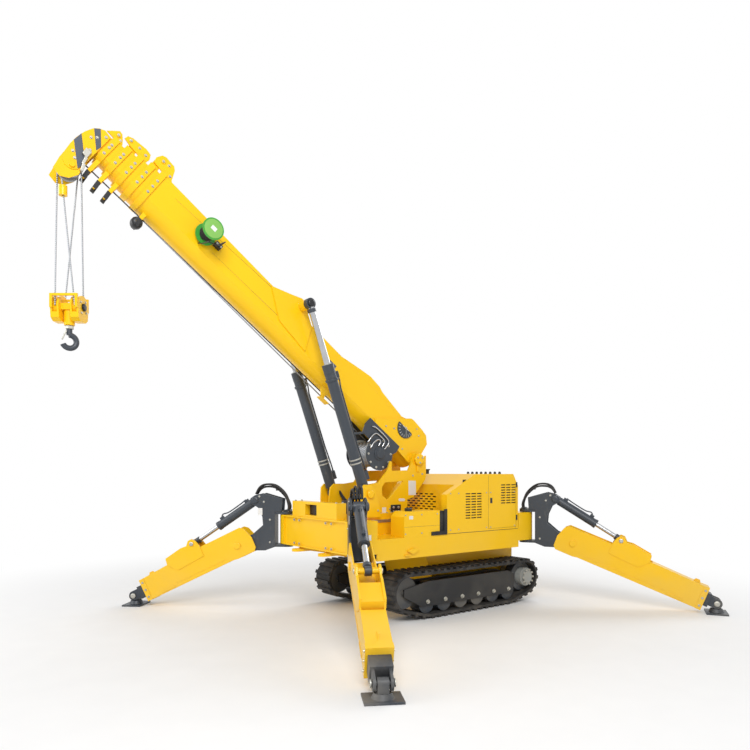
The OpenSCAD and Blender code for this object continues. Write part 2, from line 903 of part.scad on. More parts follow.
module winch_drum() {
    color(DARK)
        on_boom()
            difference() {
                union() {
                    bar_y(drum_s, -drum_drop, drum_rope_r, -drum_half, drum_half);
                    both_sides()
                        bar_y(drum_s, -drum_drop, drum_flange_r, drum_half - CUT, drum_half + 12);
                }
                both_sides()
                    bar_y(drum_s, -drum_drop, drum_pin_r + RUN, winch_y - 66, winch_y);
            }
}
drum_half = 170;

module cable_reel() {
    color("seagreen")
        on_boom()
            difference() {
                union() {
                    bar_y(reel_s, reel_h, 62, base_w / 2 + 30, base_w / 2 + 240);
                    for (y = [30, 226])
                        bar_y(reel_s, reel_h, 112, base_w / 2 + y, base_w / 2 + y + 14);
                }
                bar_y(reel_s, reel_h, reel_pin_r + RUN, base_w / 2, base_w / 2 + 120);
            }
}
reel_s = 3663;
reel_h = 153;
reel_pin_r = 20;

module head_sheaves() {
    color(STEEL)
        on_boom()
            translate([head_s, 0, -head_drop])
                rotate([90, 0, 0])
                    rotate_extrude($fn = 64)
                        polygon([[head_pin_r + RUN, -84], [sheave_r, -84], [sheave_r, -78],
                                 [groove_r, -68], [groove_r, -60], [sheave_r, -50], [sheave_r, -44],
                                 [50, -40], [50, 40],
                                 [sheave_r, 44], [sheave_r, 50], [groove_r, 60], [groove_r, 68],
                                 [sheave_r, 78], [sheave_r, 84], [head_pin_r + RUN, 84]]);
}

// Luffing cylinders

// The frame of a cylinder: X from the base pin to the rod pin
luff_top_x = foot_x + luff_pin_s * cos(luff_rest) - luff_pin_h * sin(luff_rest);
luff_top_z = foot_z + luff_pin_s * sin(luff_rest) + luff_pin_h * cos(luff_rest);
luff_len = norm([luff_top_x - luff_base_x, luff_top_z - luff_base_z]);
luff_lean = atan2(luff_top_z - luff_base_z, luff_top_x - luff_base_x);

module on_luff() {
    both_sides()
        translate([luff_base_x, luff_y, luff_base_z])
            rotate([0, -luff_lean, 0])
                rotate([0, 90, 0])
                    children();
}

module luff_barrels() {
    color(DARK)
        on_luff()
            difference() {
                union() {
                    translate([0, 0, 80])
                        cylinder(r = luff_barrel_r, h = luff_barrel_l - 80, $fn = 64);
                    translate([0, 0, luff_barrel_l - 110])
                        cylinder(r = luff_barrel_r + 3, h = 110, $fn = 64);
                    for (z = [390, 436])
                        translate([0, 0, z])
                            cylinder(r = luff_barrel_r + 5, h = 16, $fn = 64);
                    rotate([90, 0, 0])
                        cylinder(r = 62, h = 2 * eye_half, center = true, $fn = 64);
                    translate([-40, -eye_half, 0])
                        cube([80, 2 * eye_half, 90]);
                }
                rotate([90, 0, 0])
                    cylinder(r = luff_pin_r + RUN, h = 200, center = true, $fn = 64);
                translate([0, 0, 130])
                    cylinder(r = luff_rod_r + RUN, h = luff_barrel_l, $fn = 64);
            }
}

module luff_rods() {
    color(STEEL)
        on_luff() {
            translate([0, 0, luff_len - luff_rod_l])
                cylinder(r = luff_rod_r, h = luff_rod_l - 30, $fn = 64);
            translate([0, 0, luff_len])
                rotate([90, 0, 0])
                    cylinder(r = 58, h = 2 * eye_half, center = true, $fn = 64);
        }
}
luff_rod_l = 1500;

// Hook

head_x = foot_x + head_s * cos(luff_rest) + head_drop * sin(luff_rest);
head_z = foot_z + head_s * sin(luff_rest) - head_drop * cos(luff_rest);

// A round bar from p to q
module bar_between(p, q, r) {
    d = q - p;
    translate(p)
        rotate([0, acos(d.z / norm(d)), atan2(d.y, d.x)])
            cylinder(r = r, h = norm(d), $fn = 16);
}

function turn(p, a) = [p.x * cos(a) - p.y * sin(a), p.x * sin(a) + p.y * cos(a)];

// Four parts of rope between the head and the hanging block, which is turned
module rope_falls() {
    color(STEEL)
        for (x = [-1, 1])
            for (y = [-1, 1]) {
                top = [x * fall_r, y * sheave_y];
                low = turn([x * block_fall_r, y * block_y], block_turn);
                bar_between([head_x + low.x, low.y, block_z], [head_x + top.x, top.y, head_z], rope_r);
            }
}
sheave_y = 64;
block_y = 92;
groove_r = sheave_r - 14;
fall_r = groove_r + rope_r + 0.8;
block_sheave_r = 84;
block_fall_r = block_sheave_r + rope_r + SEAT;

// Weight of the upper limit switch on the falls
module limit_weight() {
    color(YELLOW)
        translate([head_x + weight_at.x, weight_at.y, head_z - weight_drop])
            difference() {
                cylinder(r = 38, h = weight_h, $fn = 48);
                translate([0, 0, -CUT])
                    cylinder(r = rope_r + 5, h = weight_h + 2 * CUT, $fn = 48);
            }
}

weight_drop = 300;
weight_h = 90;
// Where the front left part of rope is at the weight's height
weight_share = (weight_drop - weight_h / 2) / (head_z - block_z);
weight_at = [fall_r, sheave_y] * (1 - weight_share)
    + turn([block_fall_r, block_y], block_turn) * weight_share;

module hook_block() {
    color(YELLOW)
        translate([head_x, 0, 0])
            rotate([0, 0, block_turn]) {
                for (y = [-block_y, block_y]) {
                    difference() {
                        union() {
                            bar_y(0, block_z, 108, y - 40, y + 40);
                            plate_xz(y, 80)
                                polygon([[-108, block_z], [108, block_z], [96, block_z - 110],
                                         [50, block_z - 140], [-50, block_z - 140], [-96, block_z - 110]]);
                        }
                        // Open above the sheave for the ropes
                        translate([-200, y - 22, block_z - 60])
                            cube([400, 44, 300]);
                    }
                    bar_y(0, block_z, block_sheave_r, y - 23, y + 23);
                }
                bar_y(0, block_z, 26, -block_y - 52, block_y + 52);
                // Cross plate and swivel
                translate([-62, -block_y + 39, block_z - 30])
                    cube([124, 2 * block_y - 78, 60]);
                for (x = [-1, 1])
                    translate([x * 114 - 10, -block_y - 38, block_z + 84])
                        cube([20, 2 * block_y + 76, 22]);
                for (x = [-1, 1])
                    for (y = [-1, 1])
                        translate([x * 114 - 10, y * (block_y + 26) - 12, block_z - 24])
                            cube([20, 24, 110]);
                translate([0, 0, block_z - 170])
                    cylinder(r = 48, h = 150, $fn = 48);
            }
}

module hook() {
    color(DARK)
        translate([head_x, 0, 0]) {
            translate([0, 0, hook_z + 2 * hook_out_r - hook_bar_r])
                cylinder(r = hook_bar_r, h = hook_top_z - hook_z - 2 * hook_out_r + hook_bar_r, $fn = 32);
            translate([0, 0, hook_z + hook_out_r])
                rotate([90, 0, 0])
                    rotate_extrude(angle = 250, start = 85, $fn = 64)
                        translate([hook_out_r - hook_bar_r, 0])
                            circle(r = hook_bar_r, $fn = 32);
        }
}
hook_out_r = 88;
hook_bar_r = 26;
hook_top_z = block_z - 170 - 0.3;

// Legs

// Fork that swings on the beam's end and carries the leg and its cylinder
module bracket(row) {
    color(DARK)
        at_leg(row) {
            difference() {
                union() {
                    for (y = [-1, 1])
                        plate_xz(y * bracket_y, bracket_t)
                            polygon([[plate_start, low_arm_z], [262, 752],
                                     [leg_pivot_r + 10, leg_pivot_z - 62],
                                     [leg_pivot_r + 62, leg_pivot_z + 2],
                                     [leg_pivot_r + 22, leg_pivot_z + 60],
                                     [430, 960], [292, 1080], [302, 1190], [352, 1300],
                                     [ram_top_r + 62, 1370], [ram_top_r + 58, ram_top_z + 24],
                                     [ram_top_r, ram_top_z + 66], [290, ram_top_z + 92],
                                     [40, ram_top_z + 20], [52, high_arm_z + arm_t - CUT],
                                     [plate_start, high_arm_z + arm_t - CUT]]);
                    arm(low_arm_z);
                    arm(high_arm_z);
                    translate([plate_start, -bracket_y, low_arm_z])
                        cube([back_t, 2 * bracket_y, high_arm_z + arm_t - low_arm_z]);
                    bar_y(leg_pivot_r, leg_pivot_z, leg_pin_r, -leg_w / 2 - 14, leg_w / 2 + 14);
                    bar_y(ram_top_r, ram_top_z, ram_pin_r, -bracket_y - 30, bracket_y + 30);
                }
            }
            translate([0, 0, low_arm_z])
                cylinder(r = upright_r, h = high_arm_z + arm_t - low_arm_z, $fn = 64);
        }
}
fork_half = leg_w / 2 - 14;
bracket_t = 22;
bracket_y = fork_half - GAP - bracket_t / 2;
plate_start = 135;
back_t = 24;
arm_t = 34;
low_arm_z = beam_z - GAP - arm_t;
high_arm_z = beam_top_z + GAP;
leg_pin_r = 32;
ram_pin_r = 30;

module arm(z) {
    translate([0, 0, z]) {
        cylinder(r = pin_inset, h = arm_t, $fn = 64);
        translate([0, -pin_inset, 0])
            cube([plate_start + CUT, 2 * pin_inset, arm_t]);
    }
}

// Outer leg tube, hollow for the inner leg
module leg(row) {
    l = row[TUBE];
    color(YELLOW)
        on_leg(row) {
            difference() {
                union() {
                    plate_xz(0, leg_w)
                        leg_outline(l);
                    // Band round the mouth
                    translate([l - 66, -leg_w / 2 - 5, -leg_h / 2 - 3])
                        cube([66, leg_w + 10, leg_h + 6]);
                    plate_xz(0, leg_w + 16)
                        ear_plate();
                    translate([l - 420, -leg_w / 2 - 6, -leg_h / 2 + 16])
                        cube([190, leg_w + 12, 26]);
                }
                bar_y(0, 0, leg_pin_r + RUN, -leg_w, leg_w);
                // The root is a fork, the bracket's arms reach in between its sides
                translate([-300, -fork_half, -400])
                    cube([430, 2 * fork_half, 800]);
                // Channel between the sides, in which the cylinder lies
                translate([120, -fork_half, 116])
                    cube([ram_pin_s + 330, 2 * fork_half, 400]);
                translate([160, -leg_w / 2 + leg_wall, -inner_h / 2 - leg_slip])
                    cube([l - 160 - mouth_l, leg_w - 2 * leg_wall, inner_h + 2 * leg_slip]);
                // The mouth's wear pads close on the inner leg
                translate([160, -inner_w / 2 - SEAT, -inner_h / 2 - SEAT])
                    cube([l, inner_w + 2 * SEAT, inner_h + 2 * SEAT]);
            }
            // Cover between the ears
            plate_xz(0, 2 * fork_half + 2 * CUT)
                polygon([[ram_pin_s + 150, 240], [ram_pin_s + 400, 216], [ram_pin_s + 400, 110],
                         [ram_pin_s + 412, 110], [ram_pin_s + 412, 228], [ram_pin_s + 150, 252]]);
            both_sides()
                bar_y(ram_pin_s, ram_pin_h, ram_pin_r, eye_half + GAP, leg_w / 2 + 16);
        }
}

// Side of the leg along its line of pivots
module leg_outline(l) {
    polygon([[-180, -160], [-216, -120], [-222, 20], [-172, 160], [-125, 200], [ram_pin_s - 84, 196],
             [ram_pin_s + 410, 172], [l, leg_h / 2], [l, -leg_h / 2], [120, -leg_h / 2], [60, -160]]);
    ear_plate();
}

// Ear that takes the cylinder's rod, with the plate that stiffens it
module ear_plate() {
    polygon([[ram_pin_s - 84, 70], [ram_pin_s - 84, 214], [ram_pin_s - 62, ram_pin_h + 12],
             [ram_pin_s - 26, ram_pin_h + 58], [ram_pin_s + 28, ram_pin_h + 56],
             [ram_pin_s + 78, ram_pin_h + 4], [ram_pin_s + 160, ram_pin_h + 12],
             [ram_pin_s + 405, 254], [ram_pin_s + 420, 160], [ram_pin_s + 320, 56],
             [ram_pin_s + 300, 46]]);
}

mouth_l = 60;
inner_h = 170;
inner_w = leg_w - 2 * leg_wall - 2 * leg_slip;

// The leg cylinder's frame: X from the top pin to the rod pin
function rod_pin_x(row) = leg_pivot_r + ram_pin_s * cos(drop_of(row)) + ram_pin_h * sin(drop_of(row));
function rod_pin_z(row) = leg_pivot_z - ram_pin_s * sin(drop_of(row)) + ram_pin_h * cos(drop_of(row));
function ram_len(row) = norm([rod_pin_x(row) - ram_top_r, rod_pin_z(row) - ram_top_z]);
function ram_dip(row) = atan2(ram_top_z - rod_pin_z(row), rod_pin_x(row) - ram_top_r);

module on_ram(row) {
    at_leg(row)
        translate([ram_top_r, 0, ram_top_z])
            rotate([0, 90 + ram_dip(row), 0])
                children();
}

module ram_barrel(row) {
    color(DARK)
        on_ram(row)
            difference() {
                union() {
                    translate([0, 0, 50])
                        cylinder(r = ram_barrel_r, h = ram_barrel_l - 50, $fn = 64);
                    rotate([90, 0, 0])
                        cylinder(r = 56, h = 2 * ram_eye_half, center = true, $fn = 64);
                }
                rotate([90, 0, 0])
                    cylinder(r = ram_pin_r + RUN, h = 300, center = true, $fn = 64);
                translate([0, 0, 80])
                    cylinder(r = ram_rod_r + RUN, h = ram_barrel_l, $fn = 64);
            }
}
ram_eye_half = 60;

module ram_rod(row) {
    color(STEEL)
        on_ram(row) {
            translate([0, 0, ram_len(row) - ram_rod_l])
                cylinder(r = ram_rod_r, h = ram_rod_l - 20, $fn = 64);
            translate([0, 0, ram_len(row)])
                rotate([90, 0, 0])
                    cylinder(r = 46, h = 2 * eye_half, center = true, $fn = 64);
        }
}
ram_rod_l = 570;

module inner_leg(row) {
    color(DARK)
        on_leg(row) {
            difference() {
                union() {
                    difference() {
                        translate([200, -inner_w / 2, -inner_h / 2])
                            cube([length_of(row) - 90 - 200, inner_w, inner_h]);
                        translate([200 - CUT, -inner_w / 2 + leg_wall, -inner_h / 2 + leg_wall])
                            cube([length_of(row) - 90 - 200 - leg_wall, inner_w - 2 * leg_wall,
                                  inner_h - 2 * leg_wall]);
                    }
                    for (y = [-1, 1])
                        plate_xz(y * 70, 24)
                            union() {
                                circle_at_foot(row, 62);
                                translate([length_of(row) - 92, -62])
                                    square([92, 124]);
                            }
                }
                bar_y(length_of(row), 0, foot_pin_r2, -200, 200);
            }
            bar_y(length_of(row), 0, foot_pin_r2, -92, 92);
        }
}
foot_pin_r2 = 24;

module circle_at_foot(row, r) {
    translate([length_of(row), 0])
        circle(r = r, $fn = 48);
}

module foot(row) {
    color(DARK)
        at_leg(row)
            translate([row[REACH], 0, 0])
                difference() {
                    union() {
                        translate([-pad_r + 34, -pad_r, 0])
                            cube([2 * pad_r - 68, 2 * pad_r, 20]);
                        cylinder(r1 = 100, r2 = 70, h = 60, $fn = 64);
                        plate_xz(0, 92)
                            union() {
                                translate([0, foot_pivot_z])
                                    circle(r = 46, $fn = 48);
                                translate([-46, 20])
                                    square([92, foot_pivot_z - 20]);
                            }
                    }
                    bar_y(0, foot_pivot_z, foot_pin_r2 + RUN, -100, 100);
                }
}

chassis_frame();
front_box();
side_tanks();
track_frames();
track_rollers();
drive_covers();
track(1);  // track_left
track(-1);  // track_right
engine_housing();
radiator_grille();
engine_block();
control_stand();
slew_ring();
turret_frame();
slew_motor();
boom_section_1();
boom_fittings();
winch_frame();
winch_drum();
cable_reel();
boom_section_2();
boom_section_3();
boom_section_4();
boom_section_5();
boom_section_6();
head_sheaves();
luff_barrels();
luff_rods();
rope_falls();
limit_weight();
hook_block();
hook();
bracket(leg_fl_row);  // bracket_fl
leg(leg_fl_row);  // leg_fl
ram_barrel(leg_fl_row);  // ram_barrel_fl
ram_rod(leg_fl_row);  // ram_rod_fl
inner_leg(leg_fl_row);  // inner_leg_fl
foot(leg_fl_row);  // foot_fl
bracket(leg_fr_row);  // bracket_fr
leg(leg_fr_row);  // leg_fr
ram_barrel(leg_fr_row);  // ram_barrel_fr
ram_rod(leg_fr_row);  // ram_rod_fr
inner_leg(leg_fr_row);  // inner_leg_fr
foot(leg_fr_row);  // foot_fr
bracket(leg_rl_row);  // bracket_rl
leg(leg_rl_row);  // leg_rl
ram_barrel(leg_rl_row);  // ram_barrel_rl
ram_rod(leg_rl_row);  // ram_rod_rl
inner_leg(leg_rl_row);  // inner_leg_rl
foot(leg_rl_row);  // foot_rl
bracket(leg_rr_row);  // bracket_rr
leg(leg_rr_row);  // leg_rr
ram_barrel(leg_rr_row);  // ram_barrel_rr
ram_rod(leg_rr_row);  // ram_rod_rr
inner_leg(leg_rr_row);  // inner_leg_rr
foot(leg_rr_row);  // foot_rr
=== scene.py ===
"""Looks of a tracked spider crane: paints, ropes, hoses, bolts, stripes and its studio."""
import json
import math

import bmesh
import bpy
from mathutils import Matrix, Vector, noise


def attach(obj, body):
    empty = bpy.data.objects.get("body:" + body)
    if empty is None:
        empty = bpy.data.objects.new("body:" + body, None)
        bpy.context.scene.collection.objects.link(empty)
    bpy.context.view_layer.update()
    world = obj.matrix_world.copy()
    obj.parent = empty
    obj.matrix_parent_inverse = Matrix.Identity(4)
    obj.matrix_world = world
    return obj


bl_info = {
    "name": "Spider crane",
    "version": (1, 0, 0),
    "blender": (4, 5, 0),
    "location": "View3D > Sidebar > Crane",
    "description": "Finishes and small pieces of a tracked spider crane",
    "category": "Object",
}

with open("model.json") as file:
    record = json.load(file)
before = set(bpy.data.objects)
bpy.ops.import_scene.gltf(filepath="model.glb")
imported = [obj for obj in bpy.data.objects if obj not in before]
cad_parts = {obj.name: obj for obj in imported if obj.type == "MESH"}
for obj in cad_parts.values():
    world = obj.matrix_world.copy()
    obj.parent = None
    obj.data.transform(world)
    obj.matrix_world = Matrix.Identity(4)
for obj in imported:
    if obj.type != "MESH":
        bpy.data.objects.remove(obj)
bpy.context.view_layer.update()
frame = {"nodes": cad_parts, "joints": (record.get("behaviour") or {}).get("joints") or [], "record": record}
JOINTS = {joint["name"]: joint for joint in frame["joints"]}
CORNERS = ("fl", "fr", "rl", "rr")
ORIGIN = Matrix()
FINISH_OF_SLOT = {"yellow_paint": "yellow", "charcoal_paint": "charcoal", "grey_paint": "grey",
                  "bright_rod": "chrome", "bare_steel": "steel", "track_rubber": "rubber", "green_paint": "green"}
# Dust that settles on light and on dark paint, and dry mud on rubber
LIGHT_DUST = (0.42, 0.36, 0.26, 1.0)
DARK_DUST = (0.3, 0.27, 0.22, 1.0)
MUD = (0.17, 0.15, 0.125, 1.0)


def point_of(joint_name):
    """Where a hinge of the frame stands, in metres."""
    return Vector(JOINTS[joint_name]["pos_m"])


def axis_of(joint_name):
    return Vector(JOINTS[joint_name]["axis"])


# The boom's own axes: along it from the foot pin, and square to it
BOOM_FOOT = point_of("luff")
ALONG = axis_of("telescope")
SQUARE = Vector((-ALONG.z, 0, ALONG.x))


BOOM_TURN = Matrix((ALONG, (0, 1, 0), SQUARE)).transposed().to_4x4()
BOOM_PLACE = Matrix.Translation(BOOM_FOOT) @ BOOM_TURN


def frame_at(origin, along, side):
    """A matrix with its X along one direction and its Y to one side."""
    along = Vector(along).normalized()
    side = Vector(side).normalized()
    return Matrix.Translation(origin) @ Matrix((along, side, along.cross(side))).transposed().to_4x4()


def corner_place(corner):
    """On the ground under an upright pin: X out along the leg, Z up."""
    pin = point_of("swing_" + corner)
    out = point_of("lift_" + corner) - pin
    out.z = 0
    pin.z = 0
    return frame_at(pin, out, Vector((0, 0, 1)).cross(out))


def pivot_place(corner, pivot, slide):
    """At a pivot of a leg: X along a slide, Y to the leg's side."""
    side = corner_place(corner).to_3x3() @ Vector((0, 1, 0))
    return frame_at(point_of(pivot + corner), axis_of(slide + corner), side)


def leg_place(corner):
    return pivot_place(corner, "lift_", "extend_")


def ram_place(corner):
    return pivot_place(corner, "ram_", "ram_rod_")


LUFF_Y = 0.355
LUFF_BASE = point_of("luff_barrel")
LUFF_LENGTH = (BOOM_PLACE @ Vector((2.386, 0, 0.4)) - LUFF_BASE).length

# Turned forms stand along Z; these lay them along Y or X
ACROSS = Matrix.Rotation(-math.pi / 2, 4, "X")
AHEAD = Matrix.Rotation(math.pi / 2, 4, "Y")


def at(place, *where):
    """A place moved by where in its own directions."""
    return place @ Matrix.Translation(Vector(where))


def length_property(name, description, default):
    return bpy.props.FloatProperty(name=name, description=description, default=default, unit="LENGTH")


def colour_property(name, description, default):
    return bpy.props.FloatVectorProperty(name=name, description=description, default=default, size=3,
                                         subtype="COLOR")


class CraneSizes(bpy.types.PropertyGroup):
    """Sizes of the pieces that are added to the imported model."""
    rope_radius: length_property("Rope radius", "Radius of the hoist rope", 0.007)
    hose_radius: length_property("Hose radius", "Radius of the turret's hoses", 0.012)
    bolt_radius: length_property("Bolt radius", "Radius across a plain bolt head's corners", 0.011)
    edge_radius: length_property("Edge radius", "Radius that rounds painted edges", 0.004)


class CraneColours(bpy.types.PropertyGroup):
    """Colours of the finishes."""
    yellow: colour_property("Yellow", "Main paint", (0.98, 0.575, 0.008))
    charcoal: colour_property("Charcoal", "Paint of brackets and cylinders", (0.036, 0.044, 0.056))
    grey: colour_property("Grey", "Paint of the drives and the drum", (0.3, 0.32, 0.31))
    green: colour_property("Green", "Paint of the cable reel", (0.06, 0.36, 0.05))
    rubber: colour_property("Rubber", "Tracks and hoses", (0.018, 0.018, 0.019))


def sizes():
    return bpy.context.scene.crane_sizes


def colours():
    return bpy.context.scene.crane_colours


class Wire:
    """A socket of a finish. Arithmetic on it adds Math nodes."""

    def __init__(self, finish, socket):
        self.finish = finish
        self.socket = socket

    def math(self, operation, *values):
        inputs = {i: v for i, v in enumerate((self,) + values)}
        return self.finish.node("ShaderNodeMath", {"operation": operation}, inputs)

    def __add__(self, other):
        return self.math("ADD", other)

    def __rsub__(self, other):
        return self.finish.node("ShaderNodeMath", {"operation": "SUBTRACT"}, {0: other, 1: self})

    def __mul__(self, other):
        return self.math("MULTIPLY", other)

    __radd__ = __add__
    __rmul__ = __mul__

    def clamp(self):
        return self.finish.node("ShaderNodeClamp", {}, {"Value": self})

    def step(self, low, high):
        """0 below low, 1 above high, smooth between."""
        return self.finish.node("ShaderNodeMapRange", {"interpolation_type": "SMOOTHSTEP"},
                                {"Value": self, "From Min": low, "From Max": high})


class Finish:
    """Builds one procedural material."""

    def __init__(self, name):
        self.material = bpy.data.materials.new(name)
        self.material.use_nodes = True
        self.tree = self.material.node_tree
        self.tree.nodes.clear()
        self.place = self.node("ShaderNodeTexCoord", {}, {}, "Object")

    def node(self, kind, settings, inputs, out=0):
        made = self.tree.nodes.new(kind)
        for key, value in settings.items():
            setattr(made, key, value)
        for key, value in inputs.items():
            if isinstance(value, Wire):
                self.tree.links.new(value.socket, made.inputs[key])
            else:
                made.inputs[key].default_value = value
        return Wire(self, made.outputs[out])

    def noise(self, scale, detail=3.0, stretch=(1, 1, 1)):
        place = self.place
        if stretch != (1, 1, 1):
            place = self.node("ShaderNodeMapping", {}, {"Vector": place, "Scale": stretch})
        return self.node("ShaderNodeTexNoise", {}, {"Vector": place, "Scale": scale, "Detail": detail})

    def mix(self, share, first, second):
        """Two colours mixed by a share."""
        inputs = {0: share, 6: first, 7: second}
        return self.node("ShaderNodeMix", {"data_type": "RGBA"}, inputs, 2)

    def height(self):
        """Height above the ground."""
        return self.node("ShaderNodeSeparateXYZ", {}, {"Vector": self.place}, 2)

    def rounded(self, radius):
        """The surface's direction with its edges rounded."""
        return self.node("ShaderNodeBevel", {"samples": 4}, {"Radius": radius})

    def worn_edges(self, radius):
        """1 on sharp edges, 0 on flats."""
        smooth = self.rounded(radius)
        plain = self.node("ShaderNodeNewGeometry", {}, {}, "Normal")
        same = self.node("ShaderNodeVectorMath", {"operation": "DOT_PRODUCT"}, {0: smooth, 1: plain}, "Value")
        return (1.0 - same).step(0.02, 0.2)

    def bump(self, height, strength, distance, normal=None):
        inputs = {"Height": height, "Strength": strength, "Distance": distance}
        if normal is not None:
            inputs["Normal"] = normal
        return self.node("ShaderNodeBump", {}, inputs)

    def surface(self, **inputs):
        names = {key.replace("_", " ").title().replace("Ior", "IOR"): value for key, value in inputs.items()}
        shader = self.node("ShaderNodeBsdfPrincipled", {}, names)
        self.end(shader)
        return self.material

    def end(self, shader):
        out = self.tree.nodes.new("ShaderNodeOutputMaterial")
        self.tree.links.new(shader.socket, out.inputs["Surface"])


def rgba(colour, gain=1.0):
    return tuple(min(1.0, c * gain) for c in colour) + (1.0,)


def gloss_paint(name, colour, dust=0.2, coat=0.15):
    """Sprayed gloss paint: cloudy depth, orange peel, worn edges, dust low down."""
    finish = Finish(name)
    cloud = finish.noise(1.3, 4.0)
    speck = finish.noise(38.0, 3.0)
    low = 1.0 - finish.height().step(0.1, 1.3)
    dusty = (low * dust * cloud.step(0.35, 0.7) + speck.step(0.62, 0.8) * 0.06).clamp()
    base = finish.mix(cloud, rgba(colour, 0.93), rgba(colour, 1.05))
    base = finish.mix(dusty, base, LIGHT_DUST)
    edge = finish.worn_edges(0.003) * speck.step(0.48, 0.66)
    base = finish.mix(edge * 0.35, base, rgba(colour, 0.55))
    peel = finish.noise(260.0, 2.0)
    normal = finish.bump(peel, 0.05, 0.001, finish.rounded(sizes().edge_radius))
    rough = 0.27 + dusty * 0.5 + cloud * 0.08
    return finish.surface(base_color=base, roughness=rough, normal=normal, coat_weight=coat * (1.0 - dusty),
                          coat_roughness=0.08, specular_ior_level=0.22)


def satin_paint(name, colour, dust=0.5):
    """Dark satin paint with a cool sheen, scuffs and dust."""
    finish = Finish(name)
    cloud = finish.noise(2.1, 4.0)
    scuff = finish.noise(24.0, 6.0, (1.0, 1.0, 0.3))
    low = 1.0 - finish.height().step(0.0, 1.0)
    dusty = (low * dust * cloud.step(0.4, 0.7) + scuff.step(0.6, 0.75) * dust * 0.24).clamp()
    base = finish.mix(cloud, rgba(colour, 0.8), rgba(colour, 1.3))
    base = finish.mix(dusty, base, DARK_DUST)
    edge = finish.worn_edges(0.003) * scuff.step(0.45, 0.62)
    base = finish.mix(edge * 0.5, base, (0.3, 0.31, 0.32, 1.0))
    grain = finish.noise(190.0, 2.0)
    normal = finish.bump(grain, 0.08, 0.001, finish.rounded(sizes().edge_radius))
    return finish.surface(base_color=base, roughness=0.36 + dusty * 0.4 + scuff * 0.1, normal=normal, ior=1.5)


def bright_rod(name):
    """Hard chrome with faint stroke marks."""
    finish = Finish(name)
    mark = finish.noise(60.0, 3.0, (1.0, 1.0, 0.05))
    base = finish.mix(mark, (0.42, 0.43, 0.45, 1.0), (0.58, 0.59, 0.6, 1.0))
    return finish.surface(base_color=base, metallic=1.0, roughness=0.1 + mark * 0.12)


def machined_steel(name, colour=(0.42, 0.43, 0.44)):
    finish = Finish(name)
    brush = finish.noise(90.0, 4.0, (1.0, 0.1, 1.0))
    stain = finish.noise(6.0, 4.0)
    base = finish.mix(stain, rgba(colour, 0.75), rgba(colour, 1.15))
    normal = finish.bump(brush, 0.12, 0.001, finish.rounded(0.002))
    return finish.surface(base_color=base, metallic=0.9, roughness=0.3 + brush * 0.25, normal=normal)


def wire_rope(name):
    """Laid wire rope: slanting strands with dark grease between them."""
    finish = Finish(name)
    strand = finish.node("ShaderNodeTexWave", {"wave_type": "BANDS", "bands_direction": "DIAGONAL"},
                         {"Vector": finish.place, "Scale": 34.0, "Distortion": 0.4}, 1)
    base = finish.mix(strand, (0.12, 0.125, 0.13, 1.0), (0.5, 0.52, 0.55, 1.0))
    return finish.surface(base_color=base, metallic=0.7, roughness=0.42, normal=finish.bump(strand, 0.5, 0.002))


def moulded_rubber(name, colour, dust):
    finish = Finish(name)
    cloud = finish.noise(7.0, 5.0)
    grain = finish.noise(140.0, 3.0)
    low = 1.0 - finish.height().step(0.02, 0.5)
    dusty = (cloud.step(0.42, 0.66) * dust + low * dust * 0.4).clamp()
    base = finish.mix(dusty, rgba(colour), MUD)
    normal = finish.bump(grain, 0.25, 0.001, finish.rounded(0.004))
    return finish.surface(base_color=base, roughness=0.62 + dusty * 0.25, normal=normal, specular_ior_level=0.35)


def soft_black(name):
    """Black plastic of knobs, caps and grips."""
    finish = Finish(name)
    grain = finish.noise(220.0, 2.0)
    base = finish.mix(grain, (0.01, 0.01, 0.011, 1.0), (0.022, 0.022, 0.024, 1.0))
    return finish.surface(base_color=base, roughness=0.45, normal=finish.bump(grain, 0.1, 0.001))


def plate_white(name):
    """Blank enamelled plate."""
    finish = Finish(name)
    cloud = finish.noise(5.0, 3.0)
    base = finish.mix(cloud, (0.72, 0.72, 0.7, 1.0), (0.84, 0.84, 0.83, 1.0))
    return finish.surface(base_color=base, roughness=0.35 + cloud * 0.1)


FINISHES = {}


def finish_of(name):
    """Materials by plain name, made once."""
    if name not in FINISHES:
        c = colours()
        makers = {
            "yellow": lambda: gloss_paint("Yellow paint", c.yellow),
            "charcoal": lambda: satin_paint("Charcoal paint", c.charcoal),
            "grey": lambda: satin_paint("Grey paint", c.grey),
            "green": lambda: gloss_paint("Green paint", c.green, 0.1),
            "stripe": lambda: satin_paint("Black paint", (0.008, 0.009, 0.011), 0.1),
            "chrome": lambda: bright_rod("Chromed rod"),
            "steel": lambda: machined_steel("Machined steel"),
            "zinc": lambda: machined_steel("Zinc plated bolts", (0.5, 0.49, 0.44)),
            "rope": lambda: wire_rope("Wire rope"),
            "rubber": lambda: moulded_rubber("Track rubber", c.rubber, 0.25),
            "hose": lambda: moulded_rubber("Hose rubber", c.rubber, 0.12),
            "black": lambda: soft_black("Black plastic"),
            "white": lambda: plate_white("Blank plate"),
            "band": lambda: satin_paint("Blue-grey band", (0.07, 0.085, 0.115)),
            # Dark brown, the yellow paint as it looks in shade: painted shade for panel gaps and boom creases
            "shade": lambda: satin_paint("Painted gap shade", (0.1, 0.06, 0.01)),
            "lime": lambda: gloss_paint("Reel cover", (0.23, 0.5, 0.11), 0.05),
        }
        FINISHES[name] = makers[name]()
    return FINISHES[name]


def paint_node(node, finish_name):
    """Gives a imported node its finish."""
    painted = frame["nodes"][node]
    if not painted.material_slots:
        painted.data.materials.append(None)
    for slot in painted.material_slots:
        slot.material = finish_of(finish_name)


